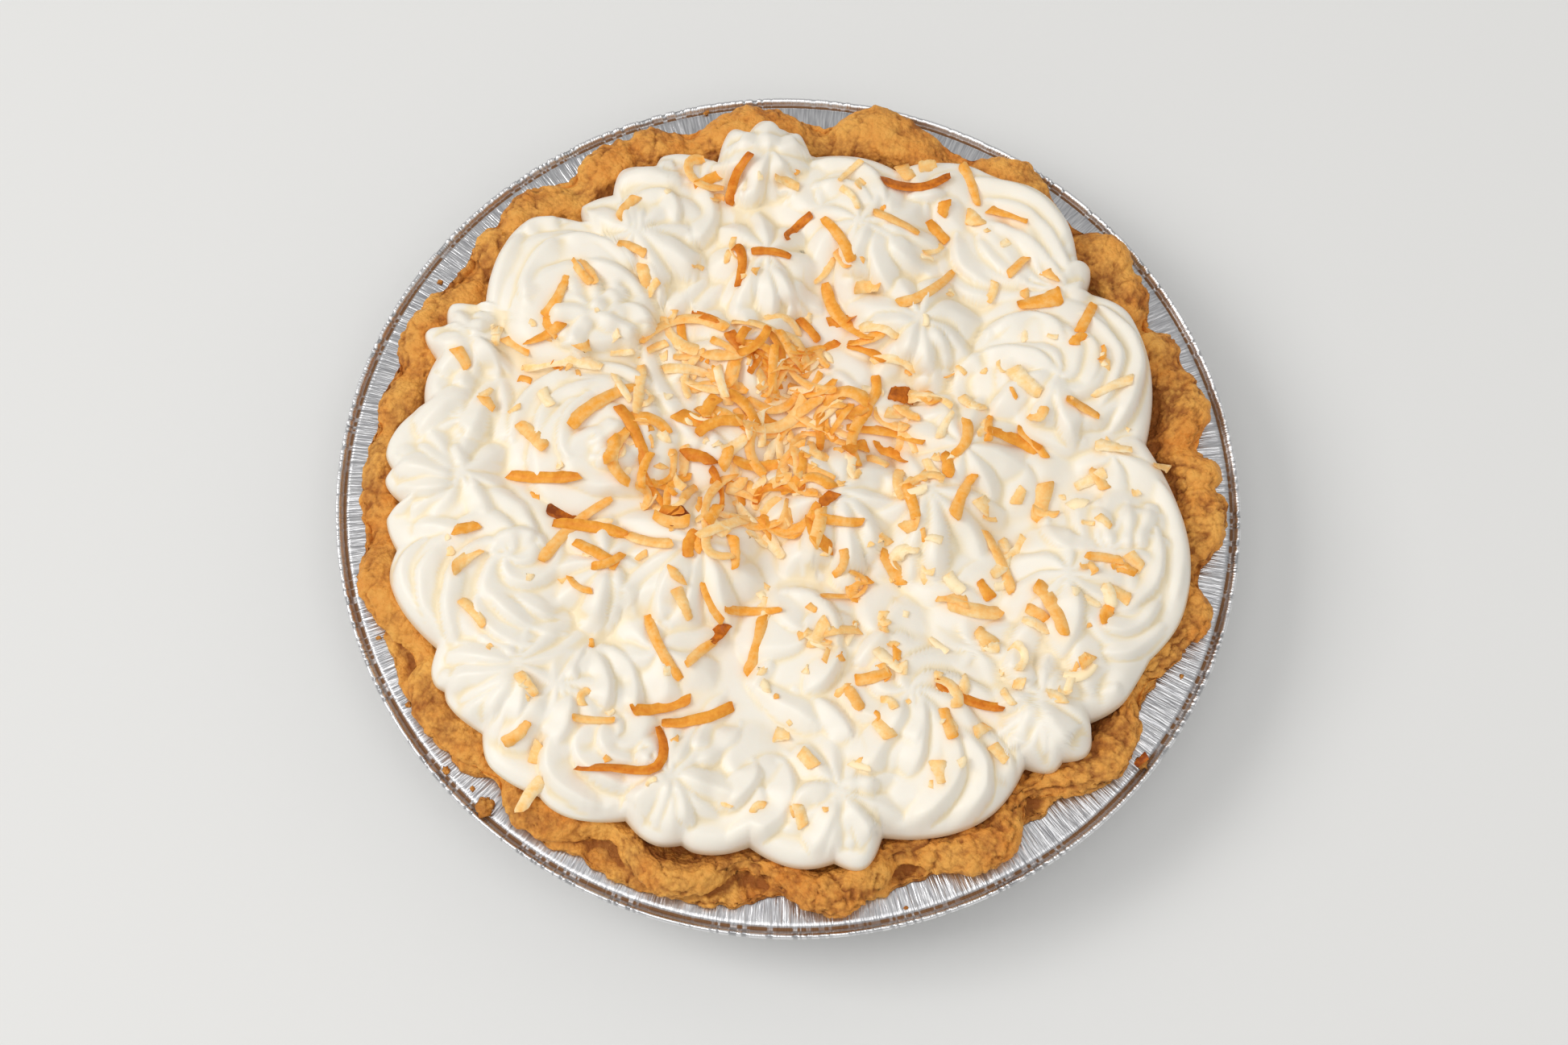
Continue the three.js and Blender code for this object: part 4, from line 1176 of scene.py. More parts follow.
def smoothstep(low, high, value):
    """0 below low, 1 above high, and 3t*t - 2t*t*t between."""
    t = np.clip((value - low) / (high - low), 0, 1)
    return t * t * (3 - 2 * t)


def crust_rows(angle):
    """Smooth rows of the crust, and the share of a valley between rope and skirt in each direction."""
    outer = around(FLUTES, 1, angle, OUTER_ROUND)
    outer = outer + 0.7 * ring_noise(angle, ROPE_RING, 5.0, size=3.5, octaves=3, seed=22)
    inner = around(FLUTES, 2, angle, INNER_ROUND)
    crest = around(FLUTES, 3, angle, INNER_ROUND)
    middle = (inner + outer) / 2
    ragged = 1.1 * ring_noise(angle, SKIRT_RING, 0.0, size=5.0, octaves=3, seed=21)
    skirt = around(SKIRT, 1, angle, 0) + ragged
    foot = np.maximum(skirt, outer - 1.5)
    valley = smoothstep(1.0, 4.5, foot - outer)
    section = [
        (inner - 9, CRUST_HIDDEN),
        (inner - 4, 31.6),
        (inner - 1.4, 33.6),
        (inner + 0.3, crest - 2.6),
        (inner + 2.6, crest - 0.7),
        (middle, crest),
        (outer - 2.6, crest - 0.7),
        (outer - 0.4, crest - 2.7),
        (outer - 0.8, 33.6 - 1.2 * valley),
        (foot - 0.7, 32.4 + 1.1 * valley),
        (foot, 31.6),
        (foot - 0.6, CRUST_UNDER),
    ]
    return spline_rows(rings_of(section, angle), CRUST_ROWS), valley


print("crust rows", CRUST_ROWS, "and columns", CRUST_COLUMNS)

# %% [markdown]
# The crust: its crumb
#
# Baked dough is lumpy at every size, so the rows are pushed along their normals: slow swells for
# the flakes, thin deep lines for the cracks between them, and packed pebbles for the crumb. The
# front of this crust crumbled most in the oven. A Displace modifier could push the surface too,
# but here the same sums also say how deep each point lies, which is kept on the points for the
# painted shade: the deeper a point, the browner its colour.

# %% Crumb
CRUMB_SIZE = 4.2
GRAIN_SIZE = 1.7
CRACK_WIDTH = 0.07


def crumb_push(x, y, z, crumbly):
    """How far each point is pushed outwards, and its share of a crevice.

    Where nothing crumbled, the push is 0.7 * swell + 0.32 * grain + 0.15 * dust - 0.5 * crack.
    More of it is grain, and the cracks are deeper, where much crumbled. The grain is that of large
    and small pebbles, read at warped places, so that no crumb is quite round.
    """
    swell = rough(x, y, z, size=7.0, octaves=3, seed=31)
    seam = np.abs(rough(x, y, z, size=8.0, octaves=3, seed=32))
    crack = np.exp(-((seam / CRACK_WIDTH) ** 2))
    warped = [v + 0.9 * rough(x, y, z, size=3.0, octaves=3, seed=36 + k) for k, v in enumerate((x, y, z))]
    crumb, level = pebbles(*warped, CRUMB_SIZE, seed=33)
    small, small_level = pebbles(*warped, GRAIN_SIZE, seed=34)
    grain = (np.sqrt(crumb) - 0.6) + 0.5 * level + 0.35 * (np.sqrt(small) - 0.6) + 0.2 * small_level
    crevice = (0.4 + 0.6 * crumbly) * (1 - smoothstep(0.0, 0.25, crumb))
    push = (0.70 + 0.05 * crumbly) * swell + (0.32 + 0.38 * crumbly) * grain
    dust = rough(x, y, z, size=1.2, octaves=2, seed=35)
    return push + 0.15 * dust - (0.5 + 0.5 * crumbly) * crack, crevice


print("crumbs of", CRUMB_SIZE, "and", GRAIN_SIZE, "mm")

# %% Crumbled rows
# Row and width of the painted shadow at the foot of the rope, where a valley runs.
VALLEY_ROW = 0.735
VALLEY_WIDTH = 0.024
FADE_ROWS = 4
# Direction in degrees and how much the crust crumbled there, from 0 to 1.
CRUMBLE = [
    (5, 0.8), (25, 0.7), (50, 0.15), (80, 0.25), (110, 0.45), (150, 0.5), (175, 0.2),
    (215, 0.1), (240, 0.3), (270, 0.8), (300, 1.0), (335, 0.9),
]


def crumbled(rows, angle, valley):
    """Rows pushed along their normals, and the painted shade of each point.

    The push is that of the crumb, less a pinch at the notches, faded out at both ends.
    Painted shade = 0.25 - 0.45 * push + 0.18 * crevice, darker under the cream and in a painted shadow along
    the valley.
    """
    crumbly = around(CRUMBLE, 1, angle, 0)
    push, crevice = crumb_push(rows[..., 0], rows[..., 1], rows[..., 2], crumbly)
    hollow = 0.25 - 0.45 * push + 0.18 * crevice
    notches = [(flute[0], k % 2) for k, flute in enumerate(FLUTES)]
    push = push - 0.9 * smoothstep(0.75, 1.0, around(notches, 1, angle, 0))
    ends = smoothstep(0, FADE_ROWS, np.arange(CRUST_ROWS))
    push = push * (ends * ends[::-1])[:, None]
    rows = rows + push[..., None] * normals_of(rows)
    rows[..., 2] = np.maximum(rows[..., 2], CRUST_UNDER)

    row = np.linspace(0, 1, CRUST_ROWS)[:, None]
    under_cream_shade = 0.35 * (1 - smoothstep(0.22, 0.42, row))
    shade = 0.8 * (valley * np.exp(-(((row - VALLEY_ROW) / VALLEY_WIDTH) ** 2)))
    return rows, np.clip(hollow + under_cream_shade + shade, 0, 1)


print("the crust crumbled most at", max(CRUMBLE, key=lambda line: line[1])[0], "degrees")

# %% Crust surface
TIN_WALL_INNER = 106.4
BASE_INNER = 92.0
CRUST_BASE = 1.5
WALL_HOLLOW = 0.3


def closed_shell(rings, first, last):
    """Points and faces of a stack of rings, with one closing point at either end."""
    rows, count = rings.shape[:2]
    points = np.concatenate([rings.reshape(-1, 3), [first, last]])
    number = np.arange(rows * count).reshape(rows, count)
    ahead = np.roll(number, -1, axis=1)
    pole = np.full(count, rows * count)
    opening = np.stack([pole, number[0], ahead[0]], 1)
    closing = np.stack([number[-1], pole + 1, ahead[-1]], 1)
    return points, [grid_faces(rows, count, True), opening, closing]


def crust_surface():
    """Points, faces and painted shade values, from the middle of the top over the rope to the base in the
    tin.
    """
    angle = np.linspace(0, 2 * np.pi, CRUST_COLUMNS, endpoint=False)
    rows, valley = crust_rows(angle)
    rows, hollow = crumbled(rows, angle, valley)
    halfway = (TIN_WALL_INNER + BASE_INNER) / 2
    wall = [(107.5, 30.7), (TIN_WALL_INNER, 28.6), (halfway, 15.0), (BASE_INNER, CRUST_BASE)]
    rings = np.concatenate([rows, rings_of(wall, angle)])
    points, faces = closed_shell(rings, (0, 0, CRUST_HIDDEN), (0, 0, CRUST_BASE))
    rest = np.full(len(points) - hollow.size, WALL_HOLLOW)
    return points, faces, np.concatenate([hollow.ravel(), rest])


points, faces, hollow = crust_surface()
print("crust", len(points), "points, hollow", round(float(hollow.mean()), 2), "on average")

# %% [markdown]
# The finish of baked pastry
#
# Butter pastry browns unevenly: gold all over, paler where flour shows on a flake, and brown in
# patches. Three sizes of noise, small cells for the grain of the crumb and the painted shade values
# mix those colours. The noises and cells also shape the bump, so the colour paints the relief:
# paler highlights on the tops of the grain, brown shade in the cracks and low places. Fat gives
# the high places a weak shine, so roughness falls a little there.

# %% Pastry paint
# Pale gold is both flour on the flakes and a painted highlight on the tops of the grain; the brown is painted
# shade in cracks, low places and the lows of the grain.
GOLD = (0.76, 0.27, 0.036)
PALE_GOLD_AND_HIGHLIGHT = (0.91, 0.47, 0.10)
BROWN_AND_SHADE = (0.285, 0.08, 0.014)


def paint_pastry():
    """Gold blended to pale gold by patches, and by flecks and specks as painted highlights, then to brown as
    painted shade by depth, flecks, specks and crumb.
    """
    paint = Paint("baked_pastry")
    patch = paint.noise(13, detail=5, roughness=0.6)
    fleck = paint.noise(2.6, detail=4, roughness=0.55)
    speck = paint.noise(0.7, detail=4, roughness=0.65)
    crumb = paint.cells(1.3)
    hollow = paint.attribute("hollow")
    colour = paint.blend((patch * 2.6 - 0.88).clip(), GOLD, PALE_GOLD_AND_HIGHLIGHT)
    colour = paint.blend((fleck * 3.0 - 1.35).clip() * 0.55, colour, PALE_GOLD_AND_HIGHLIGHT)
    colour = paint.blend((speck * 4.0 - 2.2).clip() * 0.5, colour, PALE_GOLD_AND_HIGHLIGHT)
    # Painted shade: brown where the surface lies low, in its cracks and between the crumbs.
    brown_and_shade = hollow * 1.5 - 0.42 + (0.5 - fleck) * 0.65
    brown_and_shade = brown_and_shade + (0.5 - speck) * 0.8 + (crumb - 0.4) * 0.55
    colour = paint.blend(brown_and_shade.clip() * 0.85, colour, BROWN_AND_SHADE)
    height = speck * 0.5 + fleck * 0.35 - crumb * 0.5
    return paint.finish(
        Base_Color=colour,
        Roughness=(0.50 + 0.25 * hollow + (speck - 0.5) * 0.3).clip(),
        Specular_IOR_Level=0.3,
        Normal=paint.bump(height, strength=1.0, distance=0.8),
    )


pastry_material = paint_pastry()
print("pastry from", GOLD, "to", BROWN_AND_SHADE)

# %% The crust in place
crust = build("fluted_crust", points, faces, pastry_material, {"hollow": hollow})
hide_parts("pie_crust")

# %% [markdown]
# The foil tin
#
# A disposable tin is pressed from thin foil. The wall folds into upright pleats, the flat flange
# gathers into fine radial wrinkles, and the edge is rolled into a bead with small nicks. The
# profile below runs from the inside of the base over the rim and back under to the base. The
# Screw modifier could turn such a profile into a tin, but a plain one. So the last three numbers
# say how much of the wrinkles, the pleats and the nicks a place gets.

# %% Tin profile
# Radius and height, then the shares of wrinkles, pleats and nicks.
TIN_PROFILE = [
    (92.5, 0.9, 0, 0, 0), (94.8, 2.4, 0, 0.5, 0), (100.5, 14.0, 0, 1, 0), (106.3, 27.0, 0, 1, 0),
    (107.7, 29.3, 0.4, 0.5, 0), (109.2, 30.2, 1, 0.1, 0), (110.5, 30.3, 1, 0, 0), (111.8, 30.3, 1, 0, 0),
    (113.1, 30.3, 1, 0, 0), (114.4, 30.3, 1, 0, 0), (115.7, 30.3, 1, 0, 0), (117.0, 30.3, 1, 0, 0),
    (118.2, 30.3, 1, 0, 0), (118.9, 30.3, 0.8, 0, 0), (119.35, 30.1, 0.5, 0, 0), (119.7, 29.65, 0.3, 0, 0),
    (120.2, 29.6, 0.3, 0, 0.2), (120.6, 29.9, 0.1, 0, 0.6), (121.0, 30.45, 0, 0, 1),
    (121.5, 30.85, 0, 0, 1), (121.9, 30.95, 0, 0, 1), (122.25, 30.75, 0, 0, 1), (122.45, 30.35, 0, 0, 1),
    (122.5, 29.9, 0, 0, 0.8), (122.35, 29.4, 0, 0, 0.5), (121.9, 29.0, 0, 0, 0), (121.2, 28.85, 0, 0, 0),
    (119.9, 28.8, 0.2, 0, 0), (118.7, 29.3, 0.6, 0, 0), (114.0, 29.4, 1, 0, 0), (109.8, 29.4, 0.6, 0, 0),
    (108.4, 28.4, 0.2, 1, 0), (107.2, 26.5, 0, 1, 0), (104.3, 20.0, 0, 1, 0), (101.4, 13.6, 0, 1, 0),
    (98.6, 7.5, 0, 1, 0), (96.2, 2.4, 0, 0.7, 0), (95.4, 0.9, 0, 0.4, 0), (94.2, 0.12, 0, 0.1, 0),
    (93.2, 0.0, 0, 0, 0),
]
print("tin profile of", len(TIN_PROFILE), "rings")

# %% Tin surface
TIN_COLUMNS = 2400
WRINKLE_DEPTH = 0.26
PLEAT_DEPTH = 0.9
PLEATS = 72
NICK_DEPTH = 0.45
WALL_RING = 100
FLANGE_RING = 120
BEAD_RING = 122
GROOVE_MIDDLE = 119.95
GROOVE_WIDTH = 0.5
UPPER_SIDE = 29.5
BASE_THICK = 0.9


def tin_surface():
    """Points and faces of the tin, and for each point its share of the groove, the bead and the nicks.

    Reach = radius - pleats - nicks, and height = profile + wrinkles - nicks. The wrinkles and
    nicks are noise read along a circle, and the pleats are |sin| of half their number of turns.
    """
    angle = np.linspace(0, 2 * np.pi, TIN_COLUMNS, endpoint=False)[None, :]
    profile = np.array(TIN_PROFILE)
    radius, height, wrinkled, pleated, nicked = (profile[:, k : k + 1] for k in range(5))
    gather = 0.6 + 0.5 * ring_noise(angle, FLANGE_RING, radius / 9, size=11.0, octaves=2, seed=41)
    slip = 1.5 * ring_noise(angle, FLANGE_RING, radius / 6, size=9.0, octaves=1, seed=46) / FLANGE_RING
    wrinkle = ring_noise(angle + slip, FLANGE_RING, radius / 16, size=0.85, octaves=2, seed=42) * gather
    sway = 0.5 * ring_noise(angle, WALL_RING, 0.0, size=12.0, octaves=2, seed=43)
    fold = np.abs(np.sin(PLEATS / 2 * angle + sway))
    bunched = smoothstep(-0.35, 0.25, ring_noise(angle, BEAD_RING, 0.0, size=9.0, octaves=1, seed=44))
    nick = smoothstep(0.08, 0.4, ring_noise(angle, BEAD_RING, 0.0, size=0.85, octaves=2, seed=45))
    nick = (0.35 + 0.65 * bunched) * nick
    reach = radius - PLEAT_DEPTH * pleated * (1 - fold) - 0.6 * NICK_DEPTH * nicked * nick
    level = height + WRINKLE_DEPTH * wrinkled * wrinkle - NICK_DEPTH * nicked * nick
    level = np.minimum(level, RIM_HEIGHT)
    level = np.broadcast_to(level, reach.shape)
    rings = np.stack([reach * np.cos(angle), reach * np.sin(angle), level], 2)
    points, faces = closed_shell(rings, (0, 0, BASE_THICK), (0, 0, 0))
    groove = np.exp(-(((radius - GROOVE_MIDDLE) / GROOVE_WIDTH) ** 2))
    groove = groove * (height > UPPER_SIDE) * (1 - 0.6 * nick)
    bead = nicked * np.ones_like(groove)
    shares = {"groove": groove, "bead": bead, "nick": bead * nick}
    return points, faces, {name: np.append(share, [0, 0]) for name, share in shares.items()}


points, faces, shares = tin_surface()
nicked = (shares["nick"] > 0.3).mean()
print("tin", len(points), "points,", round(100 * float(nicked), 1), "% of them in nicks")

# %% [markdown]
# The finish of the foil
#
# Rolled aluminium is metallic, bright and slightly brushed. Noise read along the direction round
# the tin, but hardly outwards from it, draws the fine radial streaks in the bump and in the colour,
# whose darker and brighter bands are painted reflections of the wrinkles. The rolled bead is bent
# smooth and bright, and its nicks are painted dark, as shade for the dim room that they look at
# sideways. In the groove behind it the colour turns brown and the metal dull.

# %% Foil paint
# The shaded silver is the painted dark of the streaks, the bright silver their painted light.
SHADED_SILVER = (0.42, 0.42, 0.44)
BRIGHT_SILVER = (0.84, 0.84, 0.85)
BEAD_SILVER = (0.82, 0.82, 0.83)
# Painted shade in the nicks of the bead.
NICK_SHADE_GREY = (0.25, 0.25, 0.26)
GROOVE_BROWN = (0.19, 0.085, 0.028)
STREAKS = {"Scale": 1900, "Detail": 2.0}


def streaks(paint):
    """Noise at 0.12 * (the direction from the axis) + 0.09 * place, so it changes along the ring."""
    level = paint.vector("MULTIPLY", {0: paint.place(), 1: (1, 1, 0)})
    ring = paint.vector("NORMALIZE", {0: level})
    round_the_tin = paint.vector("SCALE", {0: ring, "Scale": 0.12})
    outwards = paint.vector("SCALE", {0: paint.place(), "Scale": 0.09})
    where = paint.vector("ADD", {0: round_the_tin, 1: outwards})
    return paint.node("ShaderNodeTexNoise", {}, {"Vector": where, **STREAKS})


def paint_foil():
    """Silver with painted streaks of reflection, blended to the bead's silver, the nicks' painted shade and
    the groove's brown by their shares.
    """
    paint = Paint("pressed_foil")
    streak = streaks(paint)
    cloud = paint.noise(18, detail=3)
    groove = paint.attribute("groove")
    # Brown in the groove, whose share also makes the metal less metallic and rougher.
    brown_share = (groove * 1.9 - 0.2 + (cloud - 0.5) * 0.4).clip()
    silver = paint.blend((streak * 2.2 - 0.6).clip(), SHADED_SILVER, BRIGHT_SILVER)
    silver = paint.blend(paint.attribute("bead"), silver, BEAD_SILVER)
    silver = paint.blend(paint.attribute("nick") * 0.65, silver, NICK_SHADE_GREY)
    colour = paint.blend(brown_share, silver, GROOVE_BROWN)
    return paint.finish(
        Base_Color=colour,
        Metallic=1.0 - brown_share * 0.75,
        Roughness=(0.24 + 0.14 * cloud + 0.3 * brown_share).clip(),
        Normal=paint.bump(streak, strength=0.7, distance=0.35),
    )


foil_material = paint_foil()
print("foil paint", foil_material.name)

# %% The tin in place
tin = build("pressed_foil_tin", points, faces, foil_material, shares)
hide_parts("foil_tin")

# %% [markdown]
# Toasted coconut
#
# Coconut is cut in flat strips and dried: each keeps a gentle bend and lies stiffly across the
# crests of the cream instead of following every crease. Toasting browns them unevenly, the ends
# and thin strips first. The large strips lie where they were read on the sheet, with their bow,
# width and browning. The rest are thrown at random, most of them onto the pile in the middle.
# Dropping them with rigid body physics would be slow, and none would land where the real one lies.

# %% Large strips
# Start x and y, end x and y, sideways bow, width, and toast from 0 (pale) to 1 (dark brown).
STRIPS = [
    (20, 91, 39, 94, -3.0, 3.0, 0.85), (-17, 97, -22, 80, -1.5, 2.6, 0.75),
    (42, 98, 47, 85, 0.5, 2.6, 0.45), (50, 84, 61, 81, 0.5, 3.4, 0.5), (38, 86, 37, 81, 0, 3.2, 0.55),
    (18, 81, 31, 75, 0.5, 2.4, 0.4), (4, 78, 13, 65, 1.0, 3.0, 0.5), (-6, 71, 1, 79, 0, 2.4, 0.8),
    (14, 57, 21, 58, 0, 3.6, 0.3), (26, 53, 41, 64, -1.5, 2.8, 0.4), (59, 55, 71, 59, -0.6, 4.2, 0.5),
    (76, 48, 80, 57, 0, 2.8, 0.5), (6, 58, 20, 42, -3.5, 3.4, 0.5), (13, 40, 23, 45, -1, 3.0, 0.5),
    (4, 36, 11, 40, 0, 2.8, 0.7), (25, 26, 31, 25.5, 0, 4.4, 0.9), (33, 27, 38, 24, 0, 4.0, 0.45),
    (58, 36, 66, 29, -0.5, 4.0, 0.15), (73, 28, 82, 23, 0, 3.0, 0.45), (80, 29, 91, 35, 0.5, 2.4, 0.15),
    (52, 17, 66, 12, 0.5, 3.2, 0.6), (60, 18, 68, 10, 0.5, 2.4, 0.45), (46, 20, 43, 9, 2.0, 2.8, 0.45),
    (14, 15, 35, 12, 1.0, 3.2, 0.55), (14, 10, 20, 10, 0, 3.0, 0.6), (22, 10, 30, 6, 0.6, 3.0, 0.6),
    (81, 15, 91, 14, 0, 3.4, 0.15), (56, 64, 61, 70, 0, 2.6, 0.4), (66, 66, 70, 64, 0, 3.4, 0.4),
    (-62, 60, -57, 53, 0.5, 2.6, 0.35), (-52, 66, -44, 63, 0.6, 2.4, 0.4),
    (-93, 31, -89, 25, 0.3, 3.2, 0.4), (-84, 17, -81, 13, 0, 3.0, 0.4), (-30, 46, -22, 44, 0.3, 1.8, 0.75),
    (-33, 43, -31, 35, 0, 2.4, 0.55), (-43, 36, -20, 42, 5.0, 2.8, 0.35), (-19, 44, -3, 38, 2.6, 2.8, 0.3),
    (-15, 66, -4, 65, 1.0, 2.2, 0.75), (-60, 10, -43, 23, 2.0, 3.6, 0.45),
    (-48, 17, -39, 0, 1.5, 3.0, 0.65), (-29, 23, -13, 24, 1.5, 2.8, 0.4),
    (-74, 26, -53, 28, 2.0, 3.4, 0.12), (-32, 16, -24, 14, -0.5, 4.2, 0.55),
    (-75, -5, -56, -4, -0.8, 3.2, 0.6), (-64, -14, -54, -18, 0, 3.4, 1.0),
    (-62, -18, -42, -20, 0.8, 3.0, 0.6), (-56, -23, -44, -29, 0.5, 3.0, 0.5),
    (-64, -29, -47, -10, 1.5, 2.8, 0.4), (-32, -16, -27, -12, 0, 4.2, 1.0),
    (-88, -22, -81, -20, 0, 3.0, 0.5), (-87, -33, -80, -27, 0.4, 3.2, 0.3),
    (-84, -41, -77, -48, 0.4, 2.6, 0.3), (-67, -60, -62, -66, 0, 3.0, 0.25),
    (-69, -79, -63, -73, -0.8, 3.0, 0.4), (-61, -84, -59, -79, 0, 3.8, 0.25),
    (-52, -71, -41, -71, -0.5, 2.0, 0.35), (-37, -68, -22, -64, -1.0, 3.0, 0.6),
    (-29, -71, -11, -65, -1.5, 3.0, 0.6), (-35, -42, -25, -59, -1.0, 2.8, 0.45),
    (-24, -55, -17, -48, 0.4, 2.6, 0.4), (-18, -48, -14, -43, 0, 3.6, 0.9),
    (-5, -40, -8, -57, 0.6, 3.2, 0.45), (-21, -32, -15, -42, -0.8, 3.0, 0.5),
    (-15, -39, 0, -38, -0.6, 2.4, 0.5), (-63, -97, -58, -88, 0.5, 3.4, 0.2), (8, -8, 12, -4, 0, 3.0, 0.85),
    (6, -11, 20, -12, -0.6, 2.6, 0.5), (25, -20, 31, -29, 0.4, 3.6, 0.45), (44, -9, 49, 4, 0.8, 3.0, 0.45),
    (31, 0, 34, -10, 0, 3.0, 0.5), (66, -26, 74, -40, 1.2, 3.8, 0.4), (79, -17, 89, -18, 0, 2.4, 0.4),
    (90, -16, 94, -20, 0, 3.8, 0.25), (52, -12, 60, -29, 0.6, 2.6, 0.35), (85, -26, 91, -29, 0, 3.4, 0.3),
    (43, -33, 58, -35, -0.8, 4.0, 0.3), (51, -40, 55, -44, 0, 4.0, 0.3), (8, -48, 12, -40, 0, 3.4, 0.25),
    (41, -55, 59, -61, -1.6, 2.8, 0.75), (20, -56, 29, -53, -0.5, 3.2, 0.45),
    (18, -58, 22, -64, 0, 3.0, 0.4), (43, -62, 46, -70, 0, 3.0, 0.4), (26, -66, 30, -71, 0, 4.0, 0.25),
    (42, -76, 44, -82, 0, 4.0, 0.2), (56, -71, 60, -75, 0, 3.2, 0.25), (61, -54, 64, -54, 0, 3.0, 0.2),
    (0, -72, 4, -72, 0, 4.0, 0.2), (7, -76, 11, -80, 0, 3.4, 0.25), (7, -90, 9, -96, 0, 3.0, 0.25),
    (-10, 90, -3, 87, 0, 3.0, 0.25), (-65, 55, -70, 42, 0.8, 2.8, 0.45), (-70, 42, -66, 36, 0, 3.0, 0.5),
    (8, 90, 14, 97, 0, 1.8, 0.2), (96, -71, 93, -74, 0, 2.0, 1.0), (25, 96, 28, 92, 0, 4.0, 0.35),
    (30, 96, 35, 97, 0, 3.4, 0.3), (33, 79, 39, 73, 0, 3.0, 0.55), (44, 82, 48, 79, 0, 4.0, 0.3),
    (-58, 53, -64, 60, 0.4, 2.2, 0.4), (97, 10, 101, 9, 0, 2.0, 0.25), (62, 1, 60, -4, 0, 3.0, 0.25),
    (68, 3, 66, -9, 0, 4.4, 0.35), (80, 8, 84, 2, 0, 3.0, 0.3), (76, 2, 84, 7, 0, 3.0, 0.15),
    (50, -3, 53, -6, 0, 4.6, 0.2), (-74, 10, -66, 3, 0.4, 3.6, 0.35), (-80, 35, -73, 31, 0, 3.0, 0.4),
    (-60, 33, -57, 35, 0, 4.4, 0.35),
]
# Curled strips: width, toast and the places that each passes.
CURLS = [
    (2.6, 0.35, [(-30, 94), (-35, 93.5), (-34, 88), (-29, 85), (-24, 85)]),
    (2.4, 0.75, [(-20, 67), (-18, 67), (-17, 62), (-18, 55)]),
    (2.6, 0.75, [(-30, -72), (-27, -78), (-29, -85), (-39, -83.5), (-50, -84.5)]),
    (2.8, 0.5, [(21, 31), (22, 26), (18, 20), (11, 18.5)]),
    (1.5, 0.4, [(17, -26), (22, -28), (21, -33), (10, -33.5)]),
    (2.2, 0.7, [(-9, -9), (-8, -4), (-3, -3.5), (4, -3)]),
    (2.6, 0.45, [(-4, 10), (-2, 15), (4, 16), (9, 13)]),
]
print(len(STRIPS), "large strips and", len(CURLS), "curled ones")

# %% [markdown]
# Laying a strip on the cream
#
# Every strip gets the same number of stations, closer together towards its ends. The heights of
# the cream under them are replaced by the nearest parabola, which is how a stiff strip bends,
# and the parabola is lifted until it only just sinks into the crests. Each station then carries a
# thin section with two sharp sides, which the mesh keeps flat. Most strips are as wide at one end
# as at the other, some taper, the ends are blunt and cut slantwise, and the strip cups and twists
# a little along its length.

# %% Stations of a strip
STATIONS = 16
STATION_PLACES = np.sin(np.linspace(-np.pi / 2, np.pi / 2, STATIONS) * 0.98)


def stations_of(places, bow):
    """Stations on the sheet along a line through places, bowed sideways by bow * 4t(1 - t)."""
    places = np.array(places, float)
    steps = np.hypot(*np.diff(places, axis=0).T)
    length = np.concatenate([[0], np.cumsum(steps)])
    t = (STATION_PLACES + 1) / 2
    path = np.stack([np.interp(t * length[-1], length, places[:, k]) for k in range(2)], 1)
    for _ in range(2 if len(places) > 2 else 0):
        path[1:-1] = (path[:-2] + 2 * path[1:-1] + path[2:]) / 4
    way = (places[-1] - places[0]) / max(length[-1], 1e-6)
    return path + bow * (4 * t * (1 - t))[:, None] * np.array([-way[1], way[0]])


print("a strip has its stations at", np.round(STATION_PLACES[:4], 2), "and so on")

# %% Settling
STRIP_LEVEL = 47.0
STRIP_TOP = 54.2
STIFFNESS = 0.65


def settle(paths, lift):
    """True places and heights of strips read on the sheet.

    Each height is STIFFNESS * stiff + (1 - STIFFNESS) * ground, where ground is the cream below
    and stiff the parabola nearest to it, lifted by 0.8 of the most that the cream stands above it.
    """
    t = STATION_PLACES
    basis = np.stack([np.ones(STATIONS), t, t**2], 1)
    smooth = basis @ np.linalg.pinv(basis)
    z = np.full(paths.shape[:2], STRIP_LEVEL)
    for _ in range(3):
        x, y = under_sight(paths[..., 0], paths[..., 1], z)
        ground = cream_top(x, y) + SWELL
        fitted = ground @ smooth.T
        stiff = fitted + 0.8 * (ground - fitted).max(axis=1, keepdims=True)
        z = STIFFNESS * stiff + (1 - STIFFNESS) * ground + lift[:, None]
        z = z - np.maximum(z.max(axis=1, keepdims=True) - STRIP_TOP, 0)
    x, y = under_sight(paths[..., 0], paths[..., 1], z)
    return np.stack([x, y, z], 2)


print("a strip is", STIFFNESS, "stiff and stays below", STRIP_TOP, "mm")

# %% Sections of a strip
CUP = 0.10
SECTION = np.array([(0.5, 0.4), (0.0, 0.5), (-0.5, 0.4), (-0.5, -0.4), (0.0, -0.5), (0.5, -0.4)])


def unit(vectors):
    """Vectors divided by their lengths."""
    return vectors / np.linalg.norm(vectors, axis=-1, keepdims=True)


def wavering(count, taper, level, seed):
    """Half the width to one side of every strip: 1 + taper * t + 0.1 * noise."""
    t = STATION_PLACES[None, :]
    number = np.arange(count)[:, None]
    noise = rough(t * 4, number * 3.7, level, size=1.0, octaves=2, seed=seed, fall=0.9)
    return 1 + taper[:, None] * t + 0.1 * noise


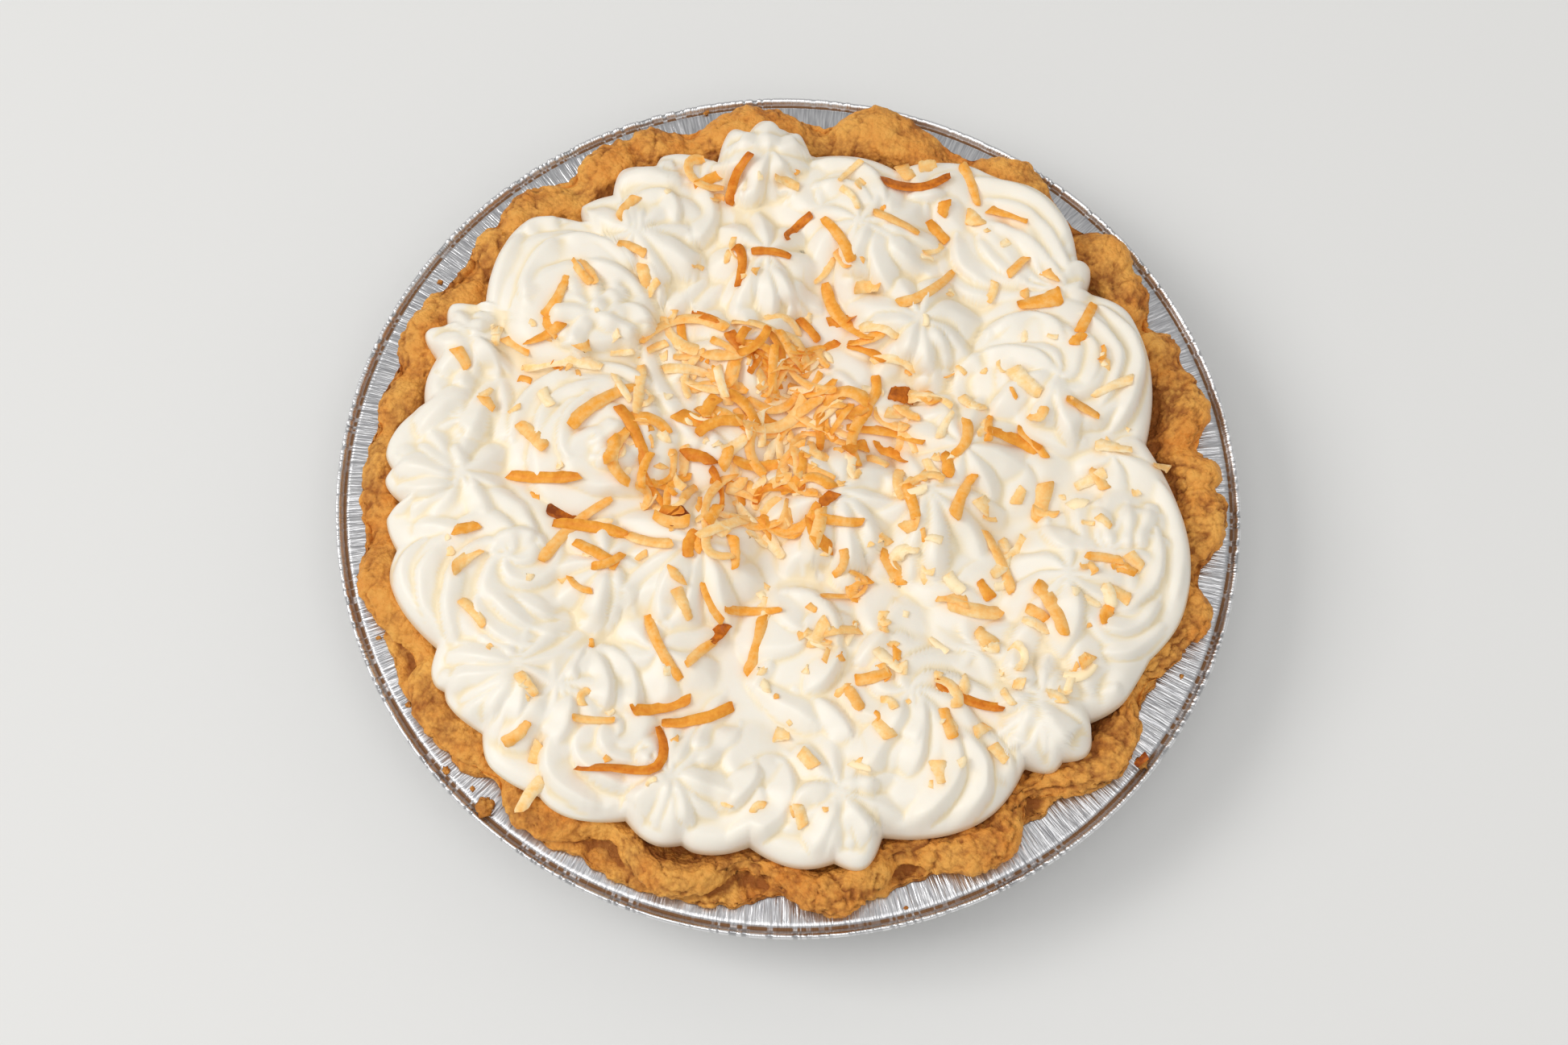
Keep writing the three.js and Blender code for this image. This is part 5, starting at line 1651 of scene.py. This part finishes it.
def ribbon_points(lines, width, thick, tilt, twist, slant, blunt, taper):
    """Sections carried along the lines: line + u * side + v * face.

    The section is turned by tilt + twist * t about the strip. Its width is rounded off at the ends
    by (1 - |t|^blunt)^0.5, its middle sinks by a cup, and the ends are slid along into a slant cut.
    """
    along = unit(np.gradient(lines, axis=1))
    flat_side = unit(np.cross(np.array([0, 0, 1.0]), along))
    rise = np.cross(along, flat_side)
    t = STATION_PLACES[None, :]
    turn = tilt[:, None] + twist[:, None] * t
    c, s = np.cos(turn)[..., None], np.sin(turn)[..., None]
    side, face = c * flat_side + s * rise, c * rise - s * flat_side
    left = wavering(len(lines), taper, 0.0, seed=71)
    right = wavering(len(lines), taper, 5.0, seed=72)
    rounding = np.sqrt(np.maximum(1 - np.abs(t) ** blunt[:, None], 0.45))
    edge = np.where(SECTION[:, 0] >= 0, left[..., None], right[..., None])
    u = SECTION[:, 0] * edge * (width[:, None] * rounding)[..., None]
    v = SECTION[:, 1] * (thick[:, None] * (0.4 + 0.6 * rounding))[..., None]
    v = v + CUP * np.abs(SECTION[:, 0]) * width[:, None, None]
    cut = np.sign(t) * smoothstep(0.5, 1.0, np.abs(t)) * slant[:, None]
    points = lines[:, :, None] + u[..., None] * side[:, :, None] + v[..., None] * face[:, :, None]
    points = points + (u * cut[..., None])[..., None] * along[:, :, None]
    return points.reshape(-1, 3)


print("each strip has", STATIONS, "stations of", len(SECTION), "points")

# %% Faces of a strip


def ribbon_faces(count):
    """Broad faces, narrow side faces and end caps of count ribbons, each numbered after the last."""
    corners = len(SECTION)
    one = grid_faces(STATIONS, corners, True)[:, ::-1]
    start = np.arange(corners)[None, :]
    stop = start[:, ::-1] + (STATIONS - 1) * corners
    offset = (np.arange(count) * STATIONS * corners)[:, None, None]
    narrow = np.arange(len(one)) % 3 == 2
    kinds = [one[~narrow], one[narrow], np.concatenate([start, stop])]
    return [(kind + offset).reshape(-1, kind.shape[1]) for kind in kinds]


print("a strip has", [len(kind) for kind in ribbon_faces(1)], "broad faces, narrow faces and ends")

# %% Scattering
chance = np.random.default_rng(77)
# Of each shower: middle x and y, spread in x and y, number, length and its spread, greatest lift
# and usual toast.
SHOWERS = [
    (-6, 33, 8, 7, 40, 10, 3.5, 1.6, 0.46),
    (0, 18, 11, 7, 30, 10, 3.5, 1.4, 0.42),
    (-20, -12, 14, 12, 46, 10, 3.5, 1.2, 0.42),
    (-10, 5, 16, 12, 26, 8, 3.5, 0.8, 0.36),
    (-25, 30, 14, 10, 22, 8, 3.5, 0.5, 0.30),
    (25, 5, 12, 14, 22, 7, 3.0, 0.4, 0.30),
    (0, 0, 45, 45, 70, 5, 3.0, 0.0, 0.24),
    (5, 0, 52, 52, 140, 2.4, 1.2, 0.0, 0.24),
    (55, -15, 18, 22, 26, 6, 2.5, 0.1, 0.16),
    (30, -50, 18, 8, 18, 4, 2.0, 0.1, 0.16),
]
FARTHEST = 0.93 * 99
LEAST_LENGTH = 1.2
SHORT_HALF = 2
LONG_WIDTHS = (1.8, 3.4)
SHORT_WIDTHS = (1.2, 2.6)
BOW_SPREAD = 0.30
TOAST_SPREAD = 0.17


def scattered_strips():
    """Random strips of every shower: paths on the sheet, width, toast and lift."""
    paths, widths, toasts, lifts = [], [], [], []
    for mx, my, sx, sy, number, length, spread, high, usual in SHOWERS:
        for _ in range(number):
            x, y = chance.normal(mx, sx), chance.normal(my, sy)
            shrink = min(1, FARTHEST / max(1, math.hypot(x, y)))
            half = max(LEAST_LENGTH, chance.normal(length, spread)) / 2
            turn = chance.uniform(0, math.pi)
            dx, dy = half * math.cos(turn), half * math.sin(turn)
            x, y = x * shrink, y * shrink
            bow = chance.normal(0, BOW_SPREAD) * half
            paths.append(stations_of([(x - dx, y - dy), (x + dx, y + dy)], bow))
            widths.append(chance.uniform(*(LONG_WIDTHS if half > SHORT_HALF else SHORT_WIDTHS)))
            toasts.append(np.clip(chance.normal(usual, TOAST_SPREAD), 0.0, 0.9))
            lifts.append(chance.uniform(0, high))
    return paths, widths, toasts, lifts


print(sum(shower[4] for shower in SHOWERS), "small strips to scatter")

# %% [markdown]
# The finish of toasted coconut
#
# One value per strip says how far it toasted, and a ramp turns it into straw, gold, orange and
# brown. Two sizes of noise and browner ends break up the colour. Light passes through such thin
# strips: their rims are painted paler, as if lit through. Subsurface scattering would dull their
# orange, so instead they give off a sixth of their own colour, a painted glow which keeps their
# undersides and shaded sides warm.

# %% Coconut paint
TOAST_STOPS = [
    (0.0, (0.90, 0.74, 0.47)), (0.2, (0.88, 0.57, 0.23)), (0.48, (0.82, 0.35, 0.045)),
    (0.75, (0.61, 0.17, 0.012)), (1.0, (0.22, 0.045, 0.006)),
]


def paint_coconut():
    """A ramp read at the toast, shifted by cloud, fibre, ends and painted pale rims, also given off as light.
    """
    paint = Paint("toasted_coconut")
    cloud = paint.noise(2.6, detail=5, roughness=0.65)
    fibre = paint.noise(0.8, detail=3)
    level = paint.attribute("toast") - 0.02 + (cloud - 0.5) * 0.6
    # The rims are painted paler, as light shining through the thin edges.
    level = level + paint.attribute("end") * 0.10 - paint.attribute("rim") * 0.10 + (fibre - 0.5) * 0.15
    colour = paint.node("ShaderNodeValToRGB", {"stops": TOAST_STOPS}, {0: level.clip()})
    return paint.finish(
        Base_Color=colour,
        # A painted glow, in place of light passing through the strips.
        Emission_Color=colour,
        Emission_Strength=0.17,
        Roughness=0.45,
        Specular_IOR_Level=0.2,
        Normal=paint.bump(fibre, strength=0.4, distance=0.12),
    )


coconut_material = paint_coconut()
print("coconut paint", coconut_material.name)

# %% All the strips settled
LEAST_LIFT = 0.15
STRIP_LIFT = 0.15
CURL_LIFT = 0.4

paths, widths, toasts, lifts = scattered_strips()
laid = [([(x0, y0), (x1, y1)], bow, width, toast, STRIP_LIFT) for x0, y0, x1, y1, bow, width, toast in STRIPS]
laid += [(places, 0, width, toast, CURL_LIFT) for width, toast, places in CURLS]
for places, bow, width, toast, lift in laid:
    paths.append(stations_of(places, bow))
    widths.append(width)
    toasts.append(toast)
    lifts.append(lift)
lines = settle(np.array(paths), np.array(lifts) + LEAST_LIFT)
number = len(lines)
print(number, "strips, highest at", round(float(lines[..., 2].max()), 1), "mm")

# %% The coconut in place
THICKNESS = (0.08, 0.20)
TILT_SPREAD = 0.16
TWIST_SPREAD = 0.22
MOST_SLANT = 0.7
BLUNTNESS = (8, 60)
TAPER_SPREAD = 0.14

thick = chance.uniform(*THICKNESS, number)
tilt = chance.normal(0, TILT_SPREAD, number)
twist = chance.normal(0, TWIST_SPREAD, number)
slant = chance.uniform(-MOST_SLANT, MOST_SLANT, number)
blunt = chance.uniform(*BLUNTNESS, number)
taper = chance.normal(0, TAPER_SPREAD, number)
points = ribbon_points(lines, np.array(widths), thick, tilt, twist, slant, blunt, taper)
values = {
    "toast": np.repeat(np.array(toasts), STATIONS * len(SECTION)),
    "end": np.tile(np.repeat(np.abs(STATION_PLACES) ** 4, len(SECTION)), number),
    "rim": np.tile(np.abs(SECTION[:, 0]) > 0.4, number * STATIONS),
}
faces = ribbon_faces(number)
build("toasted_coconut_strips", points, faces, coconut_material, values, flat=(1, 2))

# %% [markdown]
# The warm glow beside the strips
#
# Cream next to a toasted strip is tinted by it: coconut oil soaks in, and light reaches the
# cream through the strip. A ray tracer could find that light, but it would take many bounces. So
# the light is painted, together with the oil, as one warm glow: the strips are counted on a square
# grid, weighted by their size, and the count is blurred. Every point of the cream then reads the
# grid and keeps the value.

# %% Glow
GLOW_CELL = 1.0
GLOW_REACH = 130
GLOW_PASSES = 4
GLOW_GAIN = 0.40
GLOW_MOST = 0.45


def glow_at(x, y, lines, weight):
    """Strips' stations counted on a square grid, blurred and read back, with a gain up to GLOW_MOST."""
    half = int(GLOW_REACH / GLOW_CELL)
    sheet = np.zeros((2 * half, 2 * half))
    places = np.round(lines[..., :2] / GLOW_CELL).astype(int) + half
    np.add.at(sheet, (places[..., 0], places[..., 1]), weight[:, None] / STATIONS)
    sheet = blurred(sheet, GLOW_PASSES)
    i, j = x / GLOW_CELL + half, y / GLOW_CELL + half
    a, b = i.astype(int), j.astype(int)
    s, t = i - a, j - b
    near = (1 - s) * ((1 - t) * sheet[a, b] + t * sheet[a, b + 1])
    far = s * ((1 - t) * sheet[a + 1, b] + t * sheet[a + 1, b + 1])
    return np.minimum(GLOW_GAIN * (near + far), GLOW_MOST)


strip_size = np.array(widths) * np.linalg.norm(lines[:, -1] - lines[:, 0], axis=1)
places = cream_points[:, :2]
glow = glow_at(places[:, 0], places[:, 1], lines, strip_size / GLOW_CELL**2)
keep_values(cream.data, {"glow": glow})
print("glow up to", round(float(glow.max()), 2), "and", round(float(glow.mean()), 2), "on average")

# %% [markdown]
# Crumbs
#
# A few flakes of crust have dropped onto the flange of the tin. Each is a small ball of rings
# pulled out of round by noise, all in one piece. An icosphere would do as well, but these rings
# share the closing of the tin and the crust.

# %% Crumbs in place
# Direction in degrees, reach, length, width and height of each crumb.
CRUMBS = [
    (232, 118.6, 5.4, 4.2, 2.6), (225, 119.0, 2.6, 2.0, 1.5), (231, 117.4, 1.8, 1.4, 1.0),
    (324, 118.8, 3.4, 2.4, 1.6), (229, 117.2, 1.4, 1.1, 0.8), (105, 119.6, 1.6, 1.2, 1.0),
    (205, 116.8, 1.5, 1.1, 0.9), (288, 118.0, 1.2, 1.0, 0.7), (215, 117.0, 1.6, 1.3, 1.0),
    (196, 117.4, 1.5, 1.2, 0.8), (151, 115.5, 1.6, 1.2, 0.9), (337, 115.8, 1.3, 1.0, 0.8),
]
CRUMB_RINGS = 11
CRUMB_COLUMNS = 18
FLANGE_TOP = 30.2
CRUMB_HOLLOW = 0.55


def crumb_surface():
    """Balls with radius 0.95 + 0.5 * noise, scaled and set on the flange."""
    tilt = np.linspace(0, np.pi, CRUMB_RINGS + 2)[1:-1, None]
    turn = np.linspace(0, 2 * np.pi, CRUMB_COLUMNS, endpoint=False)[None, :]
    ball = np.stack([np.sin(tilt) * np.cos(turn), np.sin(tilt) * np.sin(turn), np.cos(tilt) + 0 * turn], 2)
    points, faces = [], []
    for k, (direction, reach, length, width, height) in enumerate(CRUMBS):
        shell, parts = closed_shell(ball, (0, 0, 1), (0, 0, -1))
        shell = shell * (0.95 + 0.5 * rough(*(shell.T * 2.1 + 9 * k), size=1.0, octaves=2, seed=61))[:, None]
        a = math.radians(direction)
        spin = a + k
        x, y = shell[:, 0] * length / 2, shell[:, 1] * width / 2
        shell = np.stack([
            reach * math.cos(a) + x * math.cos(spin) - y * math.sin(spin),
            reach * math.sin(a) + x * math.sin(spin) + y * math.cos(spin),
            FLANGE_TOP + height / 2 + shell[:, 2] * height / 2,
        ], 1)
        points.append(shell)
        faces.append([part + k * len(shell) for part in parts])
    return np.concatenate(points), [part for group in faces for part in group]


points, faces = crumb_surface()
values = {"hollow": np.full(len(points), CRUMB_HOLLOW)}
build("crust_crumbs", points, faces, pastry_material, values)
